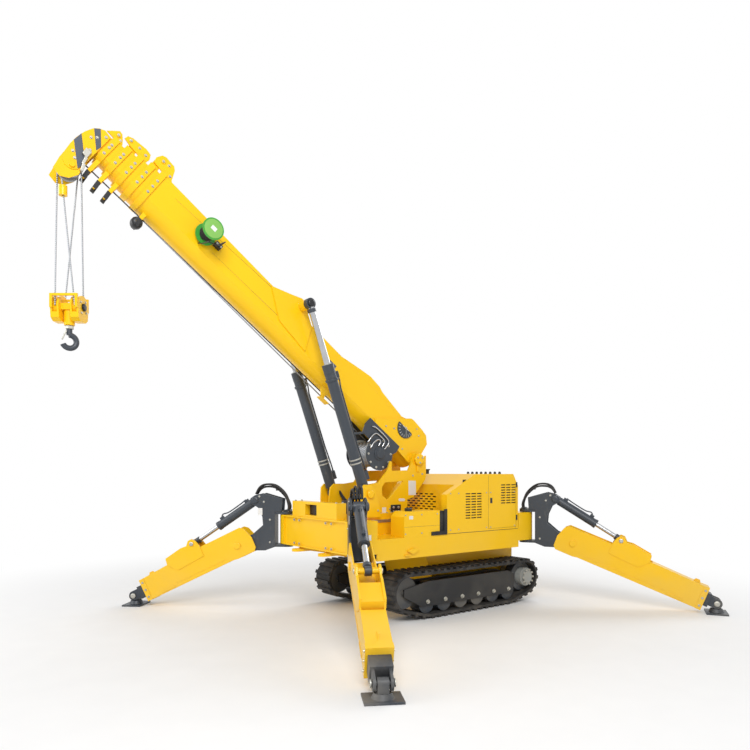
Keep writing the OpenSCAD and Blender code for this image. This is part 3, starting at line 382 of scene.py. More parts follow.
def place_mesh(mesh, name, body, finish_name, bevel=0.0, smooth=False):
    mesh.materials.clear()
    mesh.materials.append(finish_of(finish_name))
    for face in mesh.polygons:
        face.use_smooth = smooth
    piece = bpy.data.objects.new(name, mesh)
    bpy.context.scene.collection.objects.link(piece)
    if bevel > 0:
        edge = piece.modifiers.new("Rounded edges", "BEVEL")
        edge.width = bevel
        edge.segments = 2
        edge.limit_method = "ANGLE"
    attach(piece, body)
    return piece


def join_loops(built, low, high):
    """Faces between two loops of vertices."""
    for k in range(len(low)):
        j = (k + 1) % len(low)
        built.faces.new((low[k], low[j], high[j], high[k]))


def add_loops(built, loops):
    """A closed form from a row of loops, capped at both ends."""
    for low, high in zip(loops, loops[1:]):
        join_loops(built, low, high)
    built.faces.new(list(reversed(loops[0])))
    built.faces.new(loops[-1])


def add_prism(built, outline, thickness, place):
    """A flat plate: an outline in X and Z, thick along Y, carried by a matrix."""
    half = thickness / 2
    add_loops(built, [[built.verts.new(place @ Vector((x, y, z))) for x, z in outline] for y in (-half, half)])


def circles(built, profile, place, segments):
    """A loop of vertices about Z for each pair of radius and height."""
    angles = [2 * math.pi * k / segments for k in range(segments)]
    return [[built.verts.new(place @ Vector((radius * math.cos(a), radius * math.sin(a), height))) for a in angles]
            for radius, height in profile]


def add_lathe(built, profile, place, segments=32):
    """A turned form: radius and height pairs about Z, closed at both ends."""
    add_loops(built, circles(built, profile, place, segments))


def add_ring(built, profile, place, segments=32):
    """A turned ring: a closed loop of radius and height pairs about Z."""
    rings = circles(built, profile, place, segments)
    for low, high in zip(rings, rings[1:] + rings[:1]):
        join_loops(built, low, high)


def add_box(built, low, high, place):
    """A block between two corners, carried by a matrix."""
    outline = [(low[0], low[2]), (high[0], low[2]), (high[0], high[2]), (low[0], high[2])]
    add_prism(built, outline, high[1] - low[1], place @ Matrix.Translation((0, (low[1] + high[1]) / 2, 0)))


def smooth_path(points, per_span=8):
    """A smooth curve through given points."""
    points = [Vector(p) for p in points]
    ends = [points[0] * 2 - points[1]] + points + [points[-1] * 2 - points[-2]]
    path = []
    for i in range(1, len(ends) - 2):
        a, b, c, d = ends[i - 1:i + 3]
        for k in range(per_span):
            t = k / per_span
            path.append(0.5 * ((2 * b) + (c - a) * t + (2 * a - 5 * b + 4 * c - d) * t * t
                               + (3 * b - a - 3 * c + d) * t ** 3))
    path.append(points[-1])
    return path


def add_tube(built, path, radius, sides=10):
    """A round tube along a path, capped at both ends."""
    rings = []
    up = Vector((0, 0, 1))
    for i, here in enumerate(path):
        heading = (path[min(i + 1, len(path) - 1)] - path[max(i - 1, 0)]).normalized()
        side = heading.cross(up)
        if side.length < 0.2:
            side = heading.cross(Vector((0, 1, 0)))
        side.normalize()
        if rings and side.dot(last_side) < 0:
            side.negate()
        last_side = side
        lift = side.cross(heading)
        rings.append([built.verts.new(here + (side * math.cos(a) + lift * math.sin(a)) * radius)
                      for a in (2 * math.pi * k / sides for k in range(sides))])
    add_loops(built, rings)


class Growth:
    """Builds one Geometry Nodes tree."""

    def __init__(self, name):
        self.tree = bpy.data.node_groups.new(name, "GeometryNodeTree")
        self.tree.interface.new_socket("Geometry", in_out="INPUT", socket_type="NodeSocketGeometry")
        self.tree.interface.new_socket("Geometry", in_out="OUTPUT", socket_type="NodeSocketGeometry")
        self.entry = self.tree.nodes.new("NodeGroupInput")

    def size(self, name, value):
        socket = self.tree.interface.new_socket(name, in_out="INPUT", socket_type="NodeSocketFloat")
        socket.default_value = value
        return self.entry.outputs[name]

    def node(self, kind, settings, inputs, out=0):
        made = self.tree.nodes.new(kind)
        for key, value in settings.items():
            setattr(made, key, value)
        for key, value in inputs.items():
            if isinstance(value, bpy.types.NodeSocket):
                self.tree.links.new(value, made.inputs[key])
            else:
                made.inputs[key].default_value = value
        return made.outputs[out]

    def end(self, geometry, finish_name):
        real = self.node("GeometryNodeRealizeInstances", {}, {"Geometry": geometry})
        done = self.node("GeometryNodeSetMaterial", {}, {"Geometry": real, "Material": finish_of(finish_name)})
        leave = self.tree.nodes.new("NodeGroupOutput")
        self.tree.links.new(done, leave.inputs[0])
        return self.tree


def grow(tree, seeds, name, body, finish_name, smooth=False):
    """Runs a tree on seed points, each with a direction, and keeps the plain mesh that it makes."""
    mesh = bpy.data.meshes.new(name + "_seeds")
    mesh.from_pydata([tuple(place) for place, facing in seeds], [], [])
    facing = mesh.attributes.new("facing", "FLOAT_VECTOR", "POINT")
    for i, (place, direction) in enumerate(seeds):
        facing.data[i].vector = direction
    holder = bpy.data.objects.new(name + "_seeds", mesh)
    bpy.context.scene.collection.objects.link(holder)
    change = holder.modifiers.new("Growth", "NODES")
    change.node_group = tree
    ready = holder.evaluated_get(bpy.context.evaluated_depsgraph_get())
    result = bpy.data.meshes.new_from_object(ready)
    bpy.data.objects.remove(holder)
    result.name = name
    return place_mesh(result, name, body, finish_name, smooth=smooth)


def bolt_tree(name, radius, finish_name="zinc"):
    """Hexagon heads on washers, set square to each seed's direction."""
    growth = Growth(name)
    size = growth.size("Head radius", radius)
    head = growth.node("GeometryNodeMeshCylinder", {}, {"Vertices": 6, "Radius": 1.0, "Depth": 0.8})
    head = growth.node("GeometryNodeTransform", {}, {"Geometry": head, "Translation": (0, 0, 0.6)})
    washer = growth.node("GeometryNodeMeshCylinder", {}, {"Vertices": 14, "Radius": 1.35, "Depth": 0.2})
    washer = growth.node("GeometryNodeTransform", {}, {"Geometry": washer, "Translation": (0, 0, 0.1)})
    join = growth.tree.nodes.new("GeometryNodeJoinGeometry")
    growth.tree.links.new(head, join.inputs[0])
    growth.tree.links.new(washer, join.inputs[0])
    facing = growth.node("GeometryNodeInputNamedAttribute", {"data_type": "FLOAT_VECTOR"}, {"Name": "facing"})
    turn = growth.node("FunctionNodeAlignRotationToVector", {"axis": "Z"}, {"Vector": facing})
    spread = growth.node("GeometryNodeInstanceOnPoints", {},
                         {"Points": growth.entry.outputs[0], "Instance": join.outputs[0], "Rotation": turn,
                          "Scale": size})
    return growth.end(spread, finish_name)


def studio_world():
    """A white surround for camera and reflections, and a plain level of light on the object."""
    world = bpy.data.worlds.new("Studio")
    world.use_nodes = True
    nodes = world.node_tree.nodes
    links = world.node_tree.links
    nodes.clear()
    path = nodes.new("ShaderNodeLightPath")
    seen = nodes.new("ShaderNodeMath")
    seen.operation = "MAXIMUM"
    links.new(path.outputs["Is Camera Ray"], seen.inputs[0])
    links.new(path.outputs["Is Glossy Ray"], seen.inputs[1])
    back = nodes.new("ShaderNodeBackground")
    back.inputs["Color"].default_value = (1, 1, 1, 1)
    strength = nodes.new("ShaderNodeMapRange")
    strength.inputs["To Min"].default_value = 0.44
    strength.inputs["To Max"].default_value = 1.0
    links.new(seen.outputs[0], strength.inputs["Value"])
    links.new(strength.outputs[0], back.inputs["Strength"])
    out = nodes.new("ShaderNodeOutputWorld")
    links.new(back.outputs[0], out.inputs["Surface"])
    return world


def build_floor():
    """A wide pale floor that fades into the white surround."""
    finish = Finish("Pale floor")
    grain = finish.noise(3.0, 2.0)
    tone = finish.mix(grain, (0.86, 0.86, 0.86, 1.0), (0.9, 0.9, 0.9, 1.0))
    matt = finish.node("ShaderNodeBsdfPrincipled", {}, {"Base Color": tone, "Roughness": 0.8})
    bright = finish.node("ShaderNodeEmission", {}, {"Color": (1, 1, 1, 1), "Strength": 1.0})
    away = finish.node("ShaderNodeVectorMath", {"operation": "LENGTH"}, {0: finish.place}, "Value")
    ground = finish.node("ShaderNodeMixShader", {}, {0: away.step(2.5, 7.5), 1: matt, 2: bright})
    finish.end(ground)
    mesh = bpy.data.meshes.new("Floor")
    reach = 90.0
    mesh.from_pydata([(-reach, -reach, 0), (reach, -reach, 0), (reach, reach, 0), (-reach, reach, 0)], [],
                     [(0, 1, 2, 3)])
    mesh.materials.append(finish.material)
    floor = bpy.data.objects.new("Floor", mesh)
    bpy.context.scene.collection.objects.link(floor)


# Each soft light: name, place, aim, width, height, watts
LIGHTS = (
    ("Key", (6.5, 9.0, 8.5), (0, 0, 1.5), 6.0, 4.0, 900.0),
    ("Fill", (9.0, -4.0, 5.0), (0, 0, 1.5), 5.0, 5.0, 260.0),
    ("Back", (-8.0, -2.0, 8.0), (0, 0, 1.5), 5.0, 5.0, 350.0),
)


def build_lights():
    for name, place, aim, width, height, power in LIGHTS:
        data = bpy.data.lights.new(name, "AREA")
        data.shape = "RECTANGLE"
        data.size = width
        data.size_y = height
        data.energy = power
        lamp = bpy.data.objects.new(name, data)
        lamp.location = place
        lamp.rotation_euler = (Vector(aim) - Vector(place)).to_track_quat("-Z", "Y").to_euler()
        bpy.context.scene.collection.objects.link(lamp)


CAMERA_PLACE = Vector((4.809, 6.61, 1.762))
CAMERA_HEADING = Vector((-0.6037, -0.7972, -0.0018))
CAMERA_LENS = 30.88
CAMERA_RISE = 0.1313


def build_camera():
    data = bpy.data.cameras.new("Camera")
    data.lens = CAMERA_LENS
    data.sensor_width = 36.0
    data.shift_y = CAMERA_RISE
    data.clip_end = 300.0
    camera = bpy.data.objects.new("Camera", data)
    camera.location = CAMERA_PLACE
    camera.rotation_euler = CAMERA_HEADING.to_track_quat("-Z", "Y").to_euler()
    bpy.context.scene.collection.objects.link(camera)
    bpy.context.scene.camera = camera


# Forms of a piece: each adds itself to a mesh at a place

BOTH_SIDES = [Matrix.Scale(side, 4, (0, 1, 0)) for side in (-1, 1)]
LUFF_SIDES = [Matrix.Translation((0, side * LUFF_Y, 0)) for side in (-1, 1)]


def block(low, high, turn=0.0):
    """A box between two corners, turned about Y."""
    return lambda built, place: add_box(built, low, high, place @ Matrix.Rotation(turn, 4, "Y"))


def plate(outline, thickness, y=0.0):
    """A flat plate with its middle at y: its outline in X and Z."""
    return lambda built, place: add_prism(built, outline, thickness, at(place, 0, y, 0))


def turned(profile, x=0.0, z=0.0, segments=32):
    """A turned form about Y: pairs of radius and place along Y."""
    return lambda built, place: add_lathe(built, profile, at(place, x, 0, z) @ ACROSS, segments)


def upright(profile, x=0.0, y=0.0, segments=32):
    """A turned form about Z: pairs of radius and height."""
    return lambda built, place: add_lathe(built, profile, at(place, x, y, 0), segments)


def ring(inner, outer, start, end, lay=AHEAD):
    """A plain ring about X, or about Y where it lies across."""
    loop = [(inner, start), (outer, start), (outer, end), (inner, end)]
    return lambda built, place: add_ring(built, loop, place @ lay)


def tube(points, radius, sides=10, per_span=0):
    """A round tube through points, along a smooth curve where steps per span are given."""
    def fill(built, place):
        path = [place @ Vector(q) for q in points]
        add_tube(built, smooth_path(path, per_span) if per_span else path, radius, sides)
    return fill


def repeated(moves, *forms):
    """The same forms after each of several moves."""
    def fill(built, place):
        for move in moves:
            for form in forms:
                form(built, place @ move)
    return fill


def mirrored(*forms):
    return repeated(BOTH_SIDES, *forms)


def make(name, body, finish_name, place, *forms, slot=None, bevel=0.0, smooth=False):
    """Makes a piece of forms at a place, and lets it ride on a body."""
    built = bmesh.new()
    for form in forms:
        form(built, place)
    bmesh.ops.remove_doubles(built, verts=built.verts, dist=1e-6)
    bmesh.ops.recalc_face_normals(built, faces=built.faces)
    mesh = bpy.data.meshes.new(name)
    built.to_mesh(mesh)
    built.free()
    place_mesh(mesh, name, body, finish_name, bevel, smooth)


def run_hoses(name, body, place, radius, paths):
    """Hoses that run together, each along its own path."""
    make(name, body, "hose", place, *[tube(path, radius, 10, 7) for path in paths], smooth=True)


def coil(radius, start, pitch, turns, steps):
    """Points of a rope wound about Y."""
    points = []
    for k in range(turns * steps + 1):
        angle = 2 * math.pi * k / steps
        points.append((radius * math.cos(angle), start + pitch * k / steps, radius * math.sin(angle)))
    return points


def circle(count, radius, start=0.0):
    """Points spread evenly round a circle."""
    angles = [start + 2 * math.pi * k / count for k in range(count)]
    return [(radius * math.cos(a), radius * math.sin(a)) for a in angles]


def seeds_on(place, points, facing):
    """Bolts at points of a place, all facing one of its directions."""
    return [(place @ Vector(q), place.to_3x3() @ Vector(facing)) for q in points]


def side_seeds(place, points):
    """Bolts on both sides of a place, facing outward."""
    return [seed for flip in BOTH_SIDES for seed in seeds_on(place @ flip, points, (0, 1, 0))]


def bolt_row(seeds, name, body, radius=None):
    return grow(bolt_tree(name + "_tree", radius or sizes().bolt_radius), seeds, name, body, "zinc")


# Groups of pieces, one for each operator

def paint_frame():
    for row in frame["record"]["subparts"]:
        paint_node(row["node"], FINISH_OF_SLOT[row["material_slot"]])
    paint_node("rope_falls", "rope")
    paint_node("track_frames", "stripe")


def build_studio():
    scene = bpy.context.scene
    scene.view_settings.view_transform = "Standard"
    scene.world = studio_world()
    build_floor()
    build_lights()
    build_camera()


def run_hoist_rope():
    # Along the boom: where each section's rope guide stands
    guides = {"boom_2": 4.43, "boom_3": 4.55, "boom_4": 4.672, "boom_5": 4.794, "boom_6": 4.9}
    stroke, y, z = 3.25, 0.03, -0.142
    runs = [("base", "boom_1", (0.62, y, -0.2), (4.2, y, z))]
    runs += [(body, body, (s - stroke, y, z), (s, y, z)) for body, s in guides.items()]
    for name, body, start, end in runs:
        make("hoist_rope_" + name, body, "rope", BOOM_PLACE, tube((start, end), sizes().rope_radius), smooth=True)


def section_end(i):
    return 4.345 + 0.122 * i


def trim_boom():
    film = 0.0012
    base_side, head_side = 0.18, 0.106
    on_base, on_head = base_side + film / 2, head_side + film / 2
    make("head_stripes", "boom_6", "band", BOOM_PLACE, mirrored(
        plate(((5.040, 0.034), (5.047, -0.07), (4.864, -0.262), (4.853, -0.165)), film, on_head),
        plate(((4.958, 0.214), (5.0, 0.168), (4.862, 0.012), (4.852, 0.075)), film, on_head)))
    make("side_stripes", "boom_1", "band", BOOM_PLACE, mirrored(
        plate(((1.62, 0.175), (1.86, 0.17), (1.865, 0.145), (1.62, 0.12)), film, on_base)))
    # Thin dark lines along the base section's fold lines: painted shade in the creases
    width = 0.0035
    crease_shade_lines = [plate(((s, z), (s, z - width), (end_s, end_z - width / 3), (end_s, end_z)), film, on_base)
               for s, z, end_s, end_z in ((2.74, 0.3, 4.1, 0.216), (2.5, 0.1, 3.5, 0.075))]
    make("boom_creases", "boom_1", "shade", BOOM_PLACE, mirrored(*crease_shade_lines))

    # Anchor of the rope's end, and the links that it hangs from
    make("rope_anchor", "boom_6", "zinc", BOOM_PLACE,
         plate(((4.872, -0.045), (4.93, -0.05), (4.926, -0.12), (4.868, -0.13)), 0.03, 0.122),
         plate(((4.862, -0.12), (4.892, -0.12), (4.872, -0.205), (4.846, -0.2)), 0.018, 0.126),
         plate(((4.836, -0.19), (4.87, -0.19), (4.84, -0.27), (4.815, -0.26)), 0.036, 0.126), bevel=0.004)

    # Dark tips on the rope guides, and the round weight that keeps the rope down
    tips = {"boom_1": (4.2, -0.215), "boom_3": (section_end(2) - 0.039, -0.24),
            "boom_4": (section_end(3) - 0.039, -0.235), "boom_5": (section_end(4) - 0.039, -0.23)}
    for body, (s, low) in tips.items():
        outline = ((s - 0.021, low + 0.055), (s + 0.021, low + 0.055), (s + 0.012, low - 0.03), (s - 0.03, low - 0.028))
        make("guide_tips_" + body, body, "stripe", BOOM_PLACE, mirrored(plate(outline, 0.016, 0.06)), bevel=0.003)
    make("guide_roller", "boom_1", "stripe", BOOM_PLACE, turned(
        ((0.02, -0.056), (0.05, -0.05), (0.058, -0.02), (0.058, 0.02), (0.05, 0.05), (0.02, 0.056)), 4.2, -0.2),
        smooth=True)

    # Bolts of the collars: on the outer plates' bosses, on the plates, and down the collar's side
    bosses = ((4.392, 0.425), None, (4.715, 0.345), None, (4.822, 0.31))
    extras = (((4.26, 0.36), (4.33, 0.44)), (), ((4.54, 0.35), (4.62, 0.36)), (), ((4.78, 0.28),))
    for i, boss in enumerate(bosses):
        side = base_side - 0.018 * i
        points = [(boss[0], side - 0.005, boss[1])] if boss else []
        points += [(s, side - 0.014, z) for s, z in extras[i]]
        points += [(section_end(i) - 0.031, side + 0.015, z) for z in (0.045, 0.125, 0.205 - 0.01 * i)]
        bolt_row(side_seeds(BOOM_PLACE, points), "collar_bolts_%d" % (i + 1), "boom_%d" % (i + 1))
    head_points = ((4.93, 0.12), (4.965, 0.075), (4.9, -0.03), (4.88, 0.19), (4.99, -0.16), (4.94, -0.2))
    bolt_row(side_seeds(BOOM_PLACE, [(s, head_side, z) for s, z in head_points]), "head_bolts", "boom_6")
    tail_points = ((0.12, 0.3), (0.2, 0.35), (0.62, 0.06), (0.5, 0.12), (0.24, -0.01))
    bolt_row(side_seeds(BOOM_PLACE, [(s, 0.205, z) for s, z in tail_points]), "tail_bolts", "boom_1", 0.009)

    # Bracket under the boom that guides the cylinder's hoses
    make("boom_bracket", "boom_1", "yellow", BOOM_PLACE,
         plate(((1.46, -0.1), (1.6, -0.1), (1.6, -0.15), (1.53, -0.235), (1.49, -0.245), (1.5, -0.18)), 0.012, 0.1),
         plate(((1.42, -0.235), (1.56, -0.235), (1.56, -0.247), (1.42, -0.247)), 0.09, 0.1), bevel=0.002)


def fit_gauge_and_reel():
    face = 0.2195
    marks = [block((-0.002, -0.0006, 0.088), (0.002, 0.0006, 0.12), math.radians(100 + 20 * i)) for i in range(9)]
    make("gauge_marks", "boom_1", "white", at(BOOM_PLACE, 0.36, face, 0.234), *marks,
         block((-0.06, -0.0006, -0.002), (0.06, 0.0006, 0.004)))
    make("gauge_needle", "boom_1", "zinc", at(BOOM_PLACE, 0.36, face, 0.232),
         turned(((0.014, 0), (0.014, 0.012), (0.008, 0.016))),
         block((-0.0035, 0.006, -0.115), (0.0035, 0.009, 0.01), math.radians(36.5)))

    reel = at(BOOM_PLACE, 3.663, 0, 0.153)
    make("reel_cover", "cable_reel", "lime", reel, turned(((0.098, 0.4195), (0.098, 0.424), (0.06, 0.43))))
    make("reel_plate", "cable_reel", "white", reel, block((-0.03, 0.4302, -0.022), (0.03, 0.4312, 0.022)),
         slot="green_paint")
    make("reel_cable", "cable_reel", "hose", reel, tube(coil(0.069, 0.226, 0.0135, 13, 28), 0.0068, 6), smooth=True)

    # Thin frame beside the reel, with the cable's guide
    bars = (((-0.12, 0.19, 0.02), (-0.17, 0.24, 0.0), (-0.17, 0.4, 0.0)),
            ((0.0, 0.19, -0.12), (-0.02, 0.3, -0.15), (-0.04, 0.42, -0.15)),
            ((-0.17, 0.4, 0.0), (-0.13, 0.41, -0.1), (-0.04, 0.42, -0.15)))
    make("reel_frame", "boom_1", "stripe", reel, *[tube(points, 0.006, 8) for points in bars],
         block((-0.2, 0.19, -0.02), (-0.12, 0.25, 0.03)))
    fittings = [(x, 0.252, 0.005) for x in (-0.185, -0.16, -0.135)]
    bolt_row(seeds_on(reel, fittings, (0, 1, 0)), "reel_fittings", "boom_1", 0.009)


def fit_cylinders():
    luff = frame_at(LUFF_BASE, axis_of("luff_rod"), (0, 1, 0))
    make("luff_rod_eyes", "luff_rods", "charcoal", at(luff, LUFF_LENGTH, 0, 0), repeated(
        LUFF_SIDES, ring(0.04, 0.0615, -0.0335, 0.0335, ACROSS), ring(0.0385, 0.05, -0.1, -0.058)), bevel=0.003)
    cap = [(radius, LUFF_Y + y) for radius, y in ((0.042, 0.035), (0.042, 0.05), (0.03, 0.058), (0.012, 0.058))]
    make("luff_pin_caps", "boom_1", "stripe", BOOM_PLACE, mirrored(turned(cap, 2.386, 0.4)), bevel=0.002)
    make("luff_rings", "luff_barrels", "zinc", luff, repeated(
        LUFF_SIDES, ring(0.0665, 0.0725, 0.39, 0.406), ring(0.0665, 0.0725, 0.436, 0.452),
        ring(0.039, 0.05, 1.5995, 1.608)))
    make("luff_ports", "luff_barrels", "charcoal", luff, repeated(
        LUFF_SIDES, block((1.42, -0.03, 0.055), (1.5, 0.03, 0.1)), block((0.16, -0.035, 0.05), (0.27, 0.035, 0.105)),
        ring(0.066, 0.078, 1.4, 1.43)), bevel=0.004)
    pipe = ((1.45, 0, 0.09), (1.4, 0, 0.105), (1.3, 0, 0.088), (0.6, 0, 0.088), (0.36, 0, 0.1), (0.25, 0, 0.1))
    make("luff_pipes", "luff_barrels", "charcoal", luff, repeated(LUFF_SIDES, tube(pipe, 0.009)), smooth=True)

    for corner in CORNERS:
        ram = ram_place(corner)
        pin = at(leg_place(corner), 0.54, 0, 0.28)
        length = (pin.translation - ram.translation).length
        make("ram_eye_" + corner, "ram_rod_" + corner, "charcoal", at(ram, length, 0, 0),
             ring(0.03, 0.0485, -0.0328, 0.0328, ACROSS), ring(0.0305, 0.042, -0.09, -0.045), bevel=0.002)
        pipe = ((0.52, 0, 0.075), (0.48, 0, 0.1), (0.4, 0, 0.078), (0.22, 0, 0.078), (0.12, 0, 0.085))
        make("ram_fittings_" + corner, "ram_barrel_" + corner, "charcoal", ram, ring(0.031, 0.0595, 0.585, 0.622),
             block((0.49, -0.02, 0.05), (0.545, 0.02, 0.082)), block((0.09, -0.02, 0.05), (0.15, 0.02, 0.082)),
             tube(pipe, 0.009, 8, 5), bevel=0.002)
        make("leg_pin_dots_" + corner, "leg_" + corner, "zinc", pin,
             mirrored(turned(((0.027, 0.129), (0.027, 0.135), (0.018, 0.139)))))


def trim_legs():
    lengths = {"fl": 1.48, "fr": 1.4, "rl": 1.7, "rr": 1.7}
    for corner, length in lengths.items():
        bracket = "bracket_" + corner
        ground = corner_place(corner)
        leg = leg_place(corner)
        make("bracket_caps_" + corner, bracket, "charcoal", ground,
             upright(((0.062, 1.2552), (0.062, 1.267), (0.05, 1.272))),
             mirrored(turned(((0.046, 0.0932), (0.046, 0.106), (0.03, 0.1128)), 0.4, 1.4)), bevel=0.002)
        seeds = seeds_on(ground, [(x, y, 1.255) for x, y in circle(6, 0.073)], (0, 0, 1))
        seeds += side_seeds(ground, [(r, 0.093, z) for r, z in ((0.2, 0.86), (0.2, 1.15), (0.28, 1.38), (0.34, 1.45))])
        bolt_row(seeds, "bracket_bolts_" + corner, bracket, 0.01)
        seeds = side_seeds(leg, [(length - 0.033, 0.118, z) for z in (0.1, -0.1, 0)])
        bolt_row(seeds, "leg_bolts_" + corner, "leg_" + corner)

        # Pivot caps, a weld line along each side plate's foot and a lifting eye on top
        eye = ((length - 0.2, 0.145), (length - 0.1, 0.145), (length - 0.125, 0.19), (length - 0.175, 0.19))
        make("leg_trim_" + corner, "leg_" + corner, "yellow", leg, mirrored(
            turned(((0.045, 0.1132), (0.045, 0.124), (0.036, 0.129))),
            block((0.2, 0.1128, -0.1), (length - 0.45, 0.116, -0.094))), plate(eye, 0.014), bevel=0.002)
        foot = frame_at(point_of("foot_" + corner), axis_of("extend_" + corner), ground.to_3x3() @ Vector((0, 1, 0)))
        make("foot_pins_" + corner, "inner_leg_" + corner, "zinc", foot,
             mirrored(turned(((0.034, 0.0922), (0.034, 0.1), (0.02, 0.104)))))

        # Hoses that arch over the bracket to its cylinder
        paths = []
        for k in range(4):
            y = -0.05 + 0.033 * k
            rise = 0.03 * (k % 2)
            paths.append(((-0.03, y * 1.2, 1.262), (-0.035, y * 1.2, 1.34), (0.02, y, 1.455 + rise),
                          (0.14, y, 1.56 + rise), (0.27, y * 0.9, 1.575 + rise), (0.35, y * 0.85, 1.545 + rise * 0.7),
                          (0.4, y * 0.8, 1.48)))
        run_hoses("leg_hoses_" + corner, bracket, ground, 0.013, paths)
        make("hose_clamps_" + corner, bracket, "stripe", ground, block((-0.055, -0.075, 1.2555), (0.005, 0.075, 1.28)),
             block((0.1, -0.06, 1.525), (0.13, 0.062, 1.545)), bevel=0.003)
        if corner in ("fl", "fr"):
            make("bracket_plates_" + corner, bracket, "white", ground,
                 mirrored(block((0.3, 0.093, 1.21), (0.36, 0.094, 1.3))))


def trim_turret():
    skin = 0.277
    outlines = (((-0.528, 1.47), (-0.652, 1.468), (-0.648, 1.652), (-0.524, 1.655)),
                ((-0.098, 1.236), (-0.16, 1.236), (-0.16, 1.325), (-0.098, 1.325)),
                ((-0.375, 1.395), (-0.455, 1.392), (-0.47, 1.41), (-0.455, 1.428), (-0.375, 1.43), (-0.36, 1.412)))
    make("turret_plates", "turret", "white", ORIGIN,
         mirrored(*[plate(outline, 0.003, skin + 0.0012) for outline in outlines]), slot="yellow_paint", bevel=0.0006)
    make("turret_panel", "turret", "stripe", ORIGIN,
         mirrored(block((-0.392, skin, 1.236), (-0.232, skin + 0.012, 1.353))), bevel=0.004)
    dials = ((-0.27, 1.32, 0.016), (-0.35, 1.32, 0.016), (-0.27, 1.27, 0.011), (-0.31, 1.27, 0.011),
             (-0.35, 1.27, 0.011))
    make("turret_dials", "turret", "zinc", ORIGIN, mirrored(*[
        turned(((r, skin + 0.0118), (r, skin + 0.018), (r * 0.6, skin + 0.02)), x, z, 20) for x, z, r in dials]))
    foot_x, foot_z = BOOM_FOOT.x, BOOM_FOOT.z
    make("turret_pin_caps", "turret", "yellow", ORIGIN, mirrored(
        turned(((0.075, 0.3092), (0.075, 0.322), (0.06, 0.33)), foot_x, foot_z),
        turned(((0.05, 0.4672), (0.05, 0.478), (0.035, 0.484)), LUFF_BASE.x, LUFF_BASE.z),
        block((foot_x - 0.02, 0.279, foot_z - 0.16), (foot_x + 0.02, 0.296, foot_z - 0.06))), bevel=0.003)
    points = [(foot_x + x, 0.33, foot_z + z) for x, z in circle(3, 0.045, math.radians(30))]
    points += [(x, 0.452 if x > 0 else skin, z)
               for x, z in ((0.1, 1.3), (0.29, 1.3), (-0.22, 1.3), (-0.6, 1.72), (-0.76, 1.74))]
    bolt_row(side_seeds(ORIGIN, points), "turret_bolts", "turret", 0.01)
    bolt_row(seeds_on(ORIGIN, [(x, y, 1.259) for x, y in circle(20, 0.372)], (0, 0, 1)), "slew_bolts", "turret")

    # Valve block on the turret's floor with its hoses
    make("valve_block", "turret", "charcoal", ORIGIN, block((-0.16, -0.1, 1.2592), (0.1, 0.1, 1.345)),
         block((0.02, 0.3, 1.2592), (0.05, 0.34, 1.33)),
         *[upright(((0.02, 1.344), (0.02, 1.39), (0.013, 1.395)), -0.12 + 0.066 * k, 0, 20) for k in range(4)],
         bevel=0.003)
    paths = []
    for k in range(5):
        y = 0.08 + 0.028 * k
        paths.append(((0.1, -0.08 + 0.035 * k, 1.3), (0.2, 0.03 + 0.03 * k, 1.34 + 0.02 * k),
                      (0.31, y + 0.04, 1.4 + 0.02 * k), (0.36, y + 0.06, 1.34), (0.372, y * 0.9, 1.2675)))
    run_hoses("turret_hoses", "turret", ORIGIN, sizes().hose_radius, paths)
    paths = [((0.08, side * (0.06 + 0.02 * k), 1.32), (0.16, side * 0.17, 1.4 + 0.03 * k),
              (0.19, side * 0.235, 1.5 + 0.02 * k), (0.13, side * 0.24, 1.42), (0.05, side * 0.2, 1.3))
             for side in (-1, 1) for k in range(2)]
    run_hoses("luff_foot_hoses", "turret", ORIGIN, 0.011, paths)

    drum = at(BOOM_PLACE, 0.5, 0, -0.292)
    make("winch_motor", "boom_1", "charcoal", drum,
         turned(((0.085, 0.2198), (0.085, 0.228), (0.062, 0.232), (0.062, 0.241), (0.05, 0.244))),
         block((-0.03, 0.222, 0.05), (0.03, 0.243, 0.085)), bevel=0.002)
    bolt_row(side_seeds(drum, [(x, 0.2195, z) for x, z in circle(10, 0.175)]), "winch_bolts", "boom_1")
    pipes = (((0.08, 0.06), (0.09, 0.12), (0.13, 0.125), (0.165, 0.06), (0.165, -0.04)),
             ((0.03, 0.08), (0.04, 0.16), (0.1, 0.175), (0.2, 0.165), (0.235, 0.1), (0.235, 0.0)),
             ((-0.02, 0.08), (-0.02, 0.19), (0.05, 0.22), (0.24, 0.22), (0.3, 0.2)))
    # Each pipe stands off the winch's side plate between its two ends
    paths = [[(x, 0.229 if i in (0, len(pipe) - 1) else 0.236, z) for i, (x, z) in enumerate(pipe)] for pipe in pipes]
    make("winch_pipes", "boom_1", "chrome", drum, *[tube(path, 0.009, 10, 5) for path in paths], smooth=True)
    make("drum_rope", "winch_drum", "rope", drum, tube(coil(0.1545, -0.158, 0.0148, 21, 36), 0.0072, 6), smooth=True)


